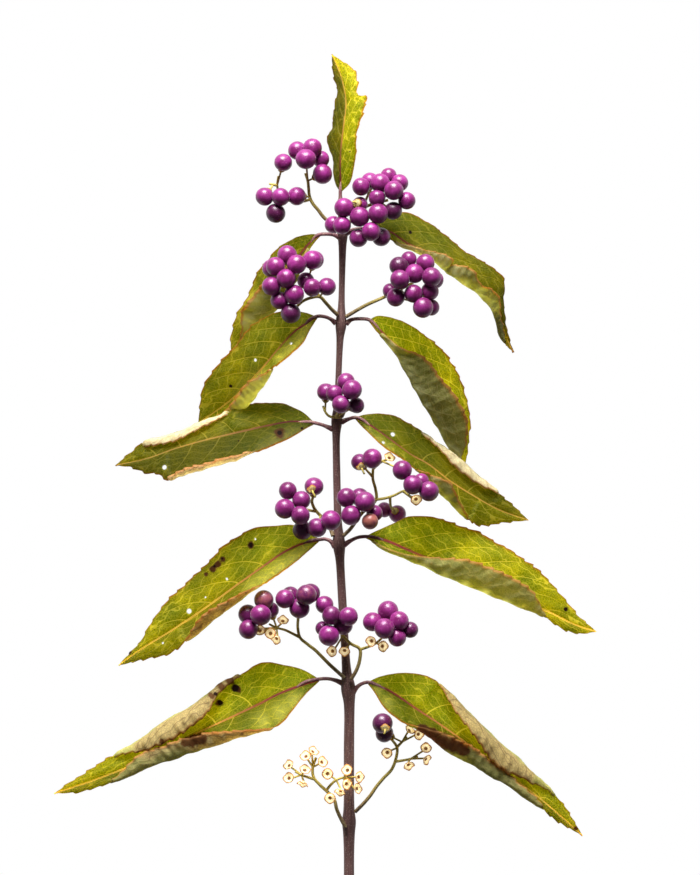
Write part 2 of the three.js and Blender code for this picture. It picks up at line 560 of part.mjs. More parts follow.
        berries: [
          [17, -30.9, 1.6, -1], [12.6, -27.2, 2.05, -1], [14.4, -32.4, 1.8, -1], [9.5, -29.3, 1.9, -1],
          [14.8, -29.1, 1.9, 0],
          [11.9, -30.6, 2, 1],
        ],
      },
    ],
    bare: [[1.4, -35.2, 10], [3.9, -35.2, 10.2], [9.2, -33.2, 10.6], [11.6, -34.2, 10.4]],
  },
  j: {
    twigs: [
      [
        [4.1, -70.6, 4], [2.5, -67.5, 4.8], [1.8, -65, 5.2], [-2, -61, 5.6], [-2.6, -59.5, 5.8],
        [-1.8, -56.6, 6],
      ],
      [[0.2, -63.3, 5.2], [1.4, -61.8, 6], [3.3, -60.6, 6.4], [5.2, -61.2, 6.8]],
      [[-2, -61, 5.6], [-4.4, -60.2, 6], [-6, -59.4, 6.2]],
    ],
    bare: [
      [-7.3, -60.6, 7.2], [-4.5, -61.9, 6.9], [-4, -58.9, 7.4], [-7.3, -58, 7], [-3.9, -56.2, 7],
      [-0.5, -57.4, 7.4],
      [-2.3, -55.2, 7], [0.5, -59.8, 7.2], [1, -64.7, 6.8], [3, -63.5, 7.2], [4.4, -61.8, 8],
      [4.4, -59, 7.8],
      [6.9, -60.4, 7.8], [6.6, -62.7, 7.8],
    ],
  },
  k: {
    twigs: [
      [
        [6, -67.6, 3.8], [8.5, -65, 4.4], [11, -61.5, 5.2], [13.5, -58.7, 5.8], [14.4, -54.5, 6.2],
        [13.2, -52.8, 5.8],
      ],
      [[14.4, -54.5, 6.2], [16.4, -52.4, 6.8]],
      [[14, -57.4, 6], [16.5, -57, 6.2], [18.6, -56.4, 6.6]],
    ],
    bunches: [{ height: 8.4, berries: [[11.9, -51.7, 1.8, -1], [11.5, -49.6, 2, 1]] }],
    bare: [
      [16.8, -58.2, 7.2], [20.4, -57, 7], [20.2, -54.6, 7.6], [17, -50.9, 7.8], [18.8, -51.9, 7.4],
      [12.4, -55.6, 7.8],
    ],
  },
};

const at = ([x, y, z]) => new THREE.Vector3(x, y, z);

const curve = (points) => new THREE.CatmullRomCurve3(points.map(at), false, "centripetal");

/** A rail of a blade as a function of reach, which runs from 0 at the base to 1 at the tip. */
function rail(points, base, tip) {
  const chord = tip.clone().sub(base);
  const samples = curve(points).getPoints(RAIL_SAMPLES);
  const reaches = samples.map((p) => p.clone().sub(base).dot(chord) / chord.lengthSq());
  for (let k = 1; k < reaches.length; k += 1) {
    reaches[k] = Math.max(reaches[k], reaches[k - 1]);
  }
  return (reach) => {
    const k = Math.max(reaches.findIndex((value) => value >= reach), 1);
    const share = (reach - reaches[k - 1]) / Math.max(reaches[k] - reaches[k - 1], 1e-6);
    return samples[k - 1].clone().lerp(samples[k], THREE.MathUtils.clamp(share, 0, 1));
  };
}

/** A closed geometry from points and triangles, turned so that its faces point out. */
function closed(points, faces) {
  const geometry = new THREE.BufferGeometry();
  const numbers = points.flatMap((p) => p.toArray());
  geometry.setAttribute("position", new THREE.Float32BufferAttribute(numbers, 3));
  const wedge = ([a, b, c]) => points[a].dot(points[b].clone().cross(points[c]));
  const volume = faces.reduce((sum, face) => sum + wedge(face), 0);
  geometry.setIndex(faces.flatMap(([a, b, c]) => (volume > 0 ? [a, b, c] : [a, c, b])));
  return geometry;
}

function solid(geometry) {
  const bare = geometry.clone();
  bare.deleteAttribute("normal");
  bare.deleteAttribute("uv");
  const merged = mergeVertices(bare, 1e-4);
  return new wasm.Manifold(
    new wasm.Mesh({
      numProp: 3,
      vertProperties: new Float32Array(merged.attributes.position.array),
      triVerts: new Uint32Array(merged.index.array),
    }),
  );
}

function geometryOf(body) {
  const mesh = body.getMesh();
  const geometry = new THREE.BufferGeometry();
  geometry.setAttribute("position", new THREE.Float32BufferAttribute(mesh.vertProperties, 3));
  geometry.setIndex(Array.from(mesh.triVerts));
  return geometry;
}

const join = (bodies) => bodies.reduce((whole, body) => whole.add(body));

/** The largest piece of a body. A loose scrap that a cut leaves is dropped. */
function largest(body) {
  return body.decompose().reduce((best, piece) => (piece.volume() > best.volume() ? piece : best));
}

/** A closed tube. Its rings follow a smooth path through points given as x, y, z, radius. */
function tube(points, sides, grow = 0) {
  const path = curve(points);
  const rings = points.length - 1;
  const vertices = [];
  const faces = [];
  const side = new THREE.Vector3(0, 0, 1);
  for (let i = 0; i <= rings; i += 1) {
    const t = i / rings;
    const radius = points[i][3] + grow;
    const ahead = path.getTangent(t);
    side.addScaledVector(ahead, -side.dot(ahead)).normalize();
    const across = ahead.clone().cross(side);
    for (let k = 0; k < sides; k += 1) {
      const turn = (2 * Math.PI * k) / sides;
      const out = side.clone().multiplyScalar(Math.cos(turn)).addScaledVector(across, Math.sin(turn));
      vertices.push(path.getPoint(t).addScaledVector(out, radius));
    }
  }
  for (let i = 0; i < rings; i += 1) {
    for (let k = 0; k < sides; k += 1) {
      const [a, b] = [i * sides + k, i * sides + ((k + 1) % sides)];
      faces.push([a, b, b + sides], [a, b + sides, a + sides]);
    }
  }
  const last = rings * sides;
  for (let k = 1; k < sides - 1; k += 1) {
    faces.push([0, k + 1, k], [last, last + k, last + k + 1]);
  }
  return closed(vertices, faces);
}

/**
 * Points across a half blade on its upper side, from rib to margin, each with the height that a rolled
 * up margin adds to it there. The outside of a roll is the shoulder, so the blade reaches out to it.
 */
function halfSection(rib, edge, reach) {
  const margin = edge.margin(reach);
  const bend = edge.shoulder?.(reach) ?? margin.clone();
  const opening = 1 - THREE.MathUtils.smoothstep(reach, ...ROLL_ENDS);
  const rolled = opening * THREE.MathUtils.smoothstep(bend.distanceTo(margin), ...ROLL_STARTS);
  const outward = bend.clone().sub(rib).setZ(0);
  const isOutside = outward.lengthSq() > margin.clone().sub(rib).dot(outward);
  margin.lerp(bend, isOutside ? 1 : rolled);
  const swell = CAMBER * Math.sin(Math.PI * reach);
  return ACROSS.map((share) => {
    const place = rib.clone().lerp(margin, share);
    place.z += swell * Math.sin(Math.PI * share);
    return { place, roll: ROLL_HEIGHT * rolled * THREE.MathUtils.smoothstep(share, 0.5, 1) };
  });
}

/** Points across the blade at a reach, from the far margin over the rib to the near margin. */
function crossSection(leaf, reach) {
  const rib = leaf.rib(reach);
  return [...halfSection(rib, leaf.far, reach).reverse(), ...halfSection(rib, leaf.near, reach).slice(1)];
}

/** A sheet of points as a closed solid with the same triangles on its upper side and its underside. */
function thicken(upper, under, faces) {
  const count = upper.length;
  const edges = new Set(faces.flatMap(([a, b, c]) => [`${a},${b}`, `${b},${c}`, `${c},${a}`]));
  const rim = [];
  for (const edge of edges) {
    const [a, b] = edge.split(",").map(Number);
    if (!edges.has(`${b},${a}`)) {
      rim.push([b, a, a + count], [b, a + count, b + count]);
    }
  }
  const behind = faces.map(([a, b, c]) => [a + count, c + count, b + count]);
  return closed([...upper, ...under], [...faces, ...behind, ...rim]);
}

function bladeOf(shape) {
  const [base, tip] = [at(shape.rib[0]), at(shape.rib.at(-1))];
  const edge = ({ margin, shoulder }) => ({
    margin: rail(margin, base, tip),
    shoulder: shoulder && rail(shoulder, base, tip),
  });
  const leaf = { rib: rail(shape.rib, base, tip), far: edge(shape.far), near: edge(shape.near) };
  const sections = [];
  for (let i = 0; i < STATIONS; i += 1) {
    sections.push(crossSection(leaf, THREE.MathUtils.lerp(...STATION_RANGE, i / (STATIONS - 1))));
  }
  const rows = sections.map((section) => section.map(({ place }) => place));
  const rolls = sections.flatMap((section) => section.map(({ roll }) => roll));
  const width = rows[0].length;
  const points = rows.flat();
  const normals = points.map((_, index) => {
    const [i, j] = [Math.floor(index / width), index % width];
    const along = rows[Math.min(i + 1, STATIONS - 1)][j].clone().sub(rows[Math.max(i - 1, 0)][j]);
    const across = rows[i][Math.min(j + 1, width - 1)].clone().sub(rows[i][Math.max(j - 1, 0)]);
    return across.cross(along).normalize();
  });
  const upward = Math.sign(rows.reduce((sum, _, i) => sum + normals[i * width + ACROSS.length - 1].z, 0));
  rows.forEach((row, i) => {
    const mine = normals.slice(i * width, (i + 1) * width);
    const mean = mine.reduce((sum, n) => sum.add(n), new THREE.Vector3()).normalize();
    const wide = THREE.MathUtils.smoothstep(row[0].distanceTo(row.at(-1)), ...SLENDER);
    mine.forEach((n) => n.lerp(mean, 1 - wide).normalize().multiplyScalar(upward));
  });
  const faces = [];
  for (let i = 0; i < STATIONS - 1; i += 1) {
    for (let j = 0; j < width - 1; j += 1) {
      const a = i * width + j;
      faces.push([a, a + width, a + width + 1], [a, a + width + 1, a + 1]);
    }
  }
  const point = points.push(tip.clone()) - 1;
  normals.push(normals[(STATIONS - 1) * width + ACROSS.length - 1].clone());
  rolls.push(0);
  for (let j = 0; j < width - 1; j += 1) {
    const a = (STATIONS - 1) * width + j;
    faces.push([a, point, a + 1]);
  }
  for (const [outer, inner] of [[0, 1], [width - 1, width - 2]]) {
    for (let i = Math.ceil(TOOTHED_FROM * STATIONS); i < STATIONS - 1; i += 1) {
      const [a, b] = [i * width + outer, (i + 1) * width + outer];
      if (rows[i + 1][0].distanceTo(rows[i + 1].at(-1)) < SLENDER[0]) {
        continue;
      }
      const out = points[a].clone().sub(points[i * width + inner]).normalize();
      const peak = points[a].clone().lerp(points[b], TOOTH_PEAK).addScaledVector(out, TOOTH);
      const tooth = points.push(peak) - 1;
      normals.push(normals[a].clone().lerp(normals[b], TOOTH_PEAK).normalize());
      rolls.push(THREE.MathUtils.lerp(rolls[a], rolls[b], TOOTH_PEAK));
      faces.push(outer === 0 ? [a, tooth, b] : [a, b, tooth]);
    }
  }
  points.forEach((p, i) => {
    if (p.z < BLADE) {
      p.z = BLADE;
      normals[i].set(0, 0, 1);
    }
  });
  const under = points.map((p, i) => p.clone().addScaledVector(normals[i], -BLADE));
  const upper = points.map((p, i) => p.clone().add(new THREE.Vector3(0, 0, rolls[i])));
  return thicken(upper, under, faces);
}

/** The petiole, running on as the midrib under the first part of the blade. */
function petioleOf(shape) {
  const line = shape.petiole.map(([x, y, z]) => [x, y, z, PETIOLE]);
  const end = curve(shape.rib).getPointAt(PETIOLE_END);
  line.push([end.x, end.y, end.z - BLADE / 2, RIB]);
  return tube(line, 5);
}

/**
 * Heights of the berries of a bunch. They start in the order of their depths. Two that would share
 * space move apart, up and down, and one that touches nothing moves back towards its neighbour.
 */
function placeBerries({ height, berries }) {
  const placed = berries.map(([x, y, radius, depth]) => {
    return { x, y, z: height + LAYER * depth, radius, depth };
  });
  const pairs = [];
  placed.forEach((hind, i) => {
    for (const fore of placed.slice(i + 1)) {
      const [low, high] = hind.depth > fore.depth ? [fore, hind] : [hind, fore];
      const apart = Math.hypot(low.x - high.x, low.y - high.y);
      const touching = low.radius + high.radius - PRESS;
      if (apart < touching) {
        pairs.push({ low, high, level: Math.sqrt(touching ** 2 - apart ** 2) });
      }
    }
  });
  for (let round = 0; round < SETTLING_ROUNDS; round += 1) {
    for (const berry of placed) {
      const mine = pairs.filter(({ low, high }) => low === berry || high === berry);
      const excess = mine.map(({ low, high, level }) => high.z - low.z - level);
      const nearest = Math.min(...excess);
      if (mine.length > 0 && nearest > 0) {
        berry.z += (mine[excess.indexOf(nearest)].low === berry ? 1 : -1) * nearest * 0.5;
      }
    }
    for (const { low, high, level } of pairs) {
      const short = Math.max(low.z + level - high.z, 0);
      low.z -= short / 2;
      high.z += short / 2;
    }
  }
  return placed;
}

/** A faceted berry, with its flats as far inside the true round as its corners are outside it. */
function ball({ x, y, z, radius }) {
  return new THREE.SphereGeometry(radius * ROUND, 6, 5).rotateX(Math.PI / 2).translate(x, y, z);
}

/** The path of a twig, taken lower wherever a berry would be in its way. */
function belowBerries(line, berries) {
  const path = curve(line).getSpacedPoints(Math.round(1.5 * (line.length - 1)));
  for (const p of path) {
    for (const berry of berries) {
      const room = berry.radius * ROUND + TWIG + 2 * GAP;
      const drop = Math.sqrt(Math.max(room ** 2 - (p.x - berry.x) ** 2 - (p.y - berry.y) ** 2, 0));
      p.z = Math.abs(p.z - berry.z) < drop ? berry.z - drop : p.z;
    }
  }
  return path;
}

/** True if a straight stalk from root to neck, and the calyx at its seat, clear every berry but its own. */
function isClear(root, neck, seat, own, berries) {
  const line = new THREE.Line3(root, neck);
  return berries.every((other) => {
    const centre = at([other.x, other.y, other.z]);
    const near = line.closestPointToPoint(centre, true, new THREE.Vector3());
    const reach = other.radius * ROUND + GAP;
    const isFree = near.distanceTo(centre) > reach + PEDICEL && seat.distanceTo(centre) > reach + CALYX;
    return other === own || isFree;
  });
}

/** A slim stalk from root to neck, widening from there into a calyx. */
function stalkTo(root, neck, seat, radius, sides) {
  const line = [[...root.toArray(), PEDICEL], [...neck.toArray(), PEDICEL], [...seat.toArray(), radius]];
  return tube(line, sides);
}

/** A berry's own stalk: from the nearest clear place on a twig to the berry, widening into its calyx. */
function pedicel(berry, joints, berries) {
  const centre = at([berry.x, berry.y, berry.z]);
  const near = joints.toSorted((p, q) => p.distanceTo(centre) - q.distanceTo(centre));
  for (const root of near) {
    const out = root.clone().sub(centre).normalize();
    const seat = centre.clone().addScaledVector(out, berry.radius * ROUND + GAP);
    const neck = centre.clone().addScaledVector(out, berry.radius * ROUND + GAP + CALYX_HEIGHT);
    const long = root.distanceTo(centre) > LONGEST_PEDICEL + berry.radius;
    if (!long && isClear(root, neck, seat, berry, berries)) {
      return stalkTo(root, neck, seat, CALYX, 3);
    }
  }
  return null;
}

/** A dry calyx that has lost its berry: a small open cup on its own stalk. */
function bareCalyx(place, joints) {
  const mouth = at(place);
  const root = joints.reduce((best, p) => (p.distanceTo(mouth) < best.distanceTo(mouth) ? p : best));
  const neck = mouth.clone().lerp(root, 0.45);
  return stalkTo(root, neck, mouth, OPEN_CALYX, 4);
}

/** The forked stalk of a cyme with its pedicels and calyces, clear of the stem and of the berries. */
function stalkOf(cyme, berries, stemGrown) {
  const paths = cyme.twigs.map((line) => belowBerries(line, berries));
  const twigs = paths.map((path, i) => {
    const radius = i === 0 ? TWIG : SIDE_TWIG;
    return solid(tube(path.map((p) => [...p.toArray(), radius]), 4));
  });
  const joints = paths.flatMap((path) => path.slice(1, -1)).slice(2);
  const stalks = berries.map((berry) => pedicel(berry, joints, berries)).filter(Boolean).map(solid);
  const cups = (cyme.bare ?? []).map((place) => solid(bareCalyx(place, joints)));
  return largest(join([...twigs, ...stalks, ...cups]).subtract(stemGrown));
}

const branch = new THREE.Group();

function addNode(name, geometry, skin) {
  const mesh = new THREE.Mesh(geometry, new THREE.MeshStandardMaterial(skin));
  mesh.name = name;
  branch.add(mesh);
}

addNode("stem", tube(stemLine, 7), wood);
const stemGrown = solid(tube(stemLine, 7, GAP));

for (const [name, shape] of Object.entries(leaves)) {
  const body = solid(bladeOf(shape)).add(solid(petioleOf(shape))).subtract(stemGrown);
  addNode(name, geometryOf(largest(body)), blade);
}

for (const [name, cyme] of Object.entries(cymes)) {
  const bunches = (cyme.bunches ?? []).map(placeBerries);
  addNode(`cyme_${name}_stalk`, geometryOf(stalkOf(cyme, bunches.flat(), stemGrown)), stalkSkin);
  const clumps = bunches.flatMap((bunch) => join(bunch.map((berry) => solid(ball(berry)))).decompose());
  clumps.forEach((clump, i) => addNode(`cyme_${name}_berries_${i + 1}`, geometryOf(clump), berrySkin));
}

export default branch;
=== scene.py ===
"""A cut branch of purple beautyberry, lying on a light panel and seen from straight above.

Shapes are worked out in millimetres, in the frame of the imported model, and turned to metres when they
go into a mesh. +X is right, +Y runs up the branch to its end leaf and +Z points at the viewer.
"""

import bpy
import numpy as np
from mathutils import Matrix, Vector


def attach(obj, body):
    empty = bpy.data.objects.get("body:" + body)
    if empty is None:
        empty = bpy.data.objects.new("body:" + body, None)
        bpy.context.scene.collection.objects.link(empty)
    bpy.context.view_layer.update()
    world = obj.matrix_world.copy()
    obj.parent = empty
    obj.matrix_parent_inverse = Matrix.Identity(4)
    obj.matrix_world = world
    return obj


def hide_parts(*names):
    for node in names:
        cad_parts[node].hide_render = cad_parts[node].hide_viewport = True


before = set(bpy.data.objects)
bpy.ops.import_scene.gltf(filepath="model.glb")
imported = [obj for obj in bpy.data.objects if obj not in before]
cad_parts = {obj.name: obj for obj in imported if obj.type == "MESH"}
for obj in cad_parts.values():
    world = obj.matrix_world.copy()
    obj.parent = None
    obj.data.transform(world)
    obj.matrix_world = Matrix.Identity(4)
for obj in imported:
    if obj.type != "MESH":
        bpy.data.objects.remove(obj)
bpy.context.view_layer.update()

METRES = 0.001
UP = np.array([0, 0, 1.0])
FINE = 40  # samples of a curve to each given point
ALONG_AXIS = 0.8  # a direction with this share of an axis or more runs along it
TABLE_GAP = 0.04  # least height of anything above the surface

# Blades
BLADE = 0.3  # thickness of a blade
STATIONS = 210  # rows of points along a blade
ACROSS = 23  # points from the midrib to the margin
CROWDING = 0.9  # below 1, these lie closer together towards the margin
REACH_RANGE = (0.004, 0.997)  # first and last row, as shares of the way from base to tip
RAIL_SAMPLES = 240
DRAWN_OUT = 0.7  # how far the tip of a leaf is drawn out to a point
CAMBER = 0.5  # how far a flat half blade swells towards the viewer
FLAT_SHOULDER = 0.6  # where a half that doesn't roll has its shoulder, as a share of its width
SHOULDER_RANGE = (0.35, 0.85)  # where the points across may reach the shoulder
ROLL_STARTS = (0.12, 0.7)  # distances from shoulder to margin over which a roll comes up
ROLL_ENDS = (0.88, 0.98)  # reach over which a roll opens out again at the tip
ROLL_INSIDE = (0, 0.3)  # how far inside its shoulder the margin lies where a roll comes up
ROLL_RISE = 0.8  # least upright pull on a roll, above its shoulder
ROLL_FALL = 0.6  # share of that pull below the shoulder
ROLL_SHOWS = (0, 0.35)  # shares of the way from shoulder to margin over which the rolled part begins

# Teeth and waves of the margin
TOOTH_SPACING = 2.5
TOOTH = 0.42  # how far a tooth stands out
TOOTH_SIZES = (0.55, 1.15)  # smallest and largest, as shares of that
TOOTH_PEAK = 0.8  # where a tooth is highest, as a share of the way to the next
TOOTH_HOLLOW = 1.4  # above 1, the long side of a tooth is hollow
TOOTH_LEAN = 0.6  # how far a tooth points forward, as a share of how far it stands out
TOOTH_DRIFT = (0.25, 3.7)  # how far the teeth drift, in spacings, and the length of this over 2 pi
TEETH_BEGIN = (0.2, 0.32)  # reach over which the teeth begin
TEETH_END = (0.93, 0.99)  # and over which they end
MARGIN_WAVES = ((0.18, 2.9, 2), (0.12, 1.3, 1))  # height, length over 2 pi and shift by the seed
MARGIN_BAND = (0.86, 1)  # places across over which teeth and waves take hold

# Veins and relief of a blade
LATERALS = 7.5  # side veins on each side, from base to tip
VEIN_SWEEP = 0.29  # how far a side vein has run towards the tip where it meets the margin
VEIN_CURVE = 1.4  # above 1, it bends towards the tip on the way
VEIN_OFFSET = 0.45  # how far the veins of the near half start before those of the far half, in spacings
VEIN_SLANT = 0.7  # distance between side veins, as a share of their spacing along the midrib
QUILTING = 0.2  # how far the blade swells between its side veins
QUILT_POWER = 0.7  # below 1, the swellings are broad and the veins between them narrow
GROOVE_DEPTH = 0.2
GROOVE_WIDTH = 0.45
CRINKLE = (4.5, 0.22)  # size and height
FINE_CRINKLE = (1.8, 0.1)
MIDRIB_ROWS = slice(STATIONS // 10, -8, STATIONS // 14)  # rows that place the midrib under the blade
PAINTED_SHADING_EDGE = (-0.08, 0.08)  # places across over which the painted light and shade of one half turns into that of the other
UV_UNIT = 100  # millimetres to one unit of the surface map

# Stalks, by their radii
PETIOLE = 0.36
PETIOLE_FOOT = 0.6
PETIOLE_ROWS = 90
PETIOLE_SIDES = 12
MIDRIB = 0.36
MIDRIB_END = 0.1
MIDRIB_SINKS = 0.8  # how far it hangs under the blade where it starts, in radii
STEM_ROWS = 520
STEM_SIDES = 28
TWIG = 0.34
SIDE_TWIG = 0.26
TWIG_TAPER = (1.15, 0.8)  # radius at both ends, as a share of that
TWIG_ROWS = 12  # rows of points to each bend of a twig
TWIG_SIDES = 10
TWIG_STEPS = 1.5  # points that place a twig, to each stretch that is given
PEDICEL = 0.2
PEDICEL_SIDES = 7
PEDICEL_ROWS = 8
BARE_ROWS = 12  # rows of points along the pedicel of a calyx without a berry
PEDICEL_SAG = (0, 0, -0.2)
LONGEST_PEDICEL = 4.5
SIDE_AGE = 0.6  # how far a side twig has turned from the colour of the twig to that of its end
PEDICEL_AGE = 0.8
BARE_AGE = 0.9

# Calyces, by the radii of their mouths
CALYX = 0.8
CALYX_HEIGHT = 0.75
OPEN_CALYX = 1.15
LOBES = 4
LOBE_SIZES = (0.7, 1.2)  # smallest and largest, as shares of the next two
LOBE_OUT = 0.05  # how far a lobe stands out, as a share of the radius
LOBE_UP = 0.25  # how far it stands up, as a share of the depth
FRONT_WIDER = 1.25  # a calyx on the front of a berry against one behind it
FRONT_SHALLOWER = 0.7
BEHIND_SHALLOWER = 0.8
FRONT_GREEN = 0.6  # share of green in a calyx that still holds a berry
BEHIND_GREEN = 0.8
STUB = (0.35, 0.9, 1.3)  # how far the points of a short stalk lie from its calyx
STUB_LEAN = 0.2  # how far it leans towards the viewer, and how far its end then sinks
STUB_SINK = 0.3

# Berries
PRESS = 0.4  # how far two touching berries are pressed into each other
SWELL = 1.035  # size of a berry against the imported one
LAYER = 1.2  # height between berries one step of depth apart, before they settle
SETTLING_ROUNDS = 300
BERRY_ROWS = 15
BERRY_SIDES = 22
FLATTENED = 0.035  # how much shorter than wide a berry is
SCAR_DIMPLE = (0.03, 0.22)  # depth in radii and width in radians
STALK_DIMPLE = (0.06, 0.4)
LUMPS = (1.6, 0.012)  # size and height in radii
BERRY_SEEDS = 40  # step between the random seeds of two cymes
BARE_SEEDS = 7
SEAT = 0.97  # where a calyx sits on a berry, in radii from its middle
TONE_RANGE = (0, 0.3)  # how much darker single berries are
TAN_RANGE = (0, 0.2)  # how much of a bruise they have
SAME_BERRY = 0.6  # a berry this near to a place in AGED_BERRIES is the one that is meant
ON_FRONT = 0.45  # square of the distance, in radii, within which a front calyx belongs to a berry

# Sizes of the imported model, which place a pedicel
PACKED_CALYX = 0.85
PACKED_PEDICEL = 0.3
PACKED_TWIG = 0.42
PACKED_ROUND = 1.08
PACKED_GAP = 0.3

# Which of its materials a piece shows on a part of it
PETIOLE_SKIN = 2
CALYX_SKIN = 1

# Room, lamp and camera, in metres
PANEL_REACH = 6.0
LAMP_SIZE = 0.6
LAMP_POWER = 52
LAMP_PLACE = (-0.08, 1.02, 0.46)
CAMERA_HEIGHT = 1.6
LEAF_HEIGHT = 0.008
VIEW_HEIGHT = 0.175  # what the picture takes in, from bottom to top
VIEW_CENTRE = (0.005, 0.0075)
SENSOR = 36  # millimetres

# Outline of a calyx, up the outside and down the inside: how wide, how high, how much its lobes move it
# and how far it is on the way from the outside to the dark middle
CUP_PROFILE = np.array(
    [
        [0.16, -1.0, 0, 0],
        [0.4, -0.8, 0, 0],
        [0.72, -0.4, 0.1, 0.1],
        [1.0, 0.1, 1, 0.3],
        [0.9, 0.16, 1, 0.35],
        [0.6, -0.25, 0.1, 0.6],
        [0.25, -0.42, 0, 1],
        [0.05, -0.44, 0, 1],
    ]
)

# Centre and radius of the stem
STEM = [
    [4.8, -83.4, 0.95, 1.05],
    [4.8, -76, 1.7, 1.05],
    [4.8, -71.9, 2.2, 1.2],
    [4.8, -69.6, 2.5, 1.4],
    [4.8, -67, 2.8, 1.12],
    [4.8, -55, 4.1, 1.05],
    [4.85, -46, 5.1, 1.1],
    [4.65, -42.8, 5.5, 1.45],
    [4.3, -39, 5.9, 0.95],
    [3.45, -25, 7.2, 0.85],
    [3.0, -17, 7.8, 0.9],
    [2.8, -13.8, 8, 1.25],
    [2.6, -10, 8.2, 0.85],
    [2.35, 0, 8.9, 0.75],
    [2.25, 8, 9.4, 0.8],
    [2.35, 10.8, 9.5, 1.1],
    [2.5, 14, 9.7, 0.75],
    [3.0, 27, 10.4, 0.72],
    [3.2, 30.2, 10.5, 1.1],
    [3.3, 34, 10.6, 0.68],
    [3.5, 45.5, 10.9, 0.78],
    [3.5, 48.4, 11, 1.05],
    [3.3, 51.5, 11, 0.7],
    [3.1, 55, 11.1, 0.6],
]
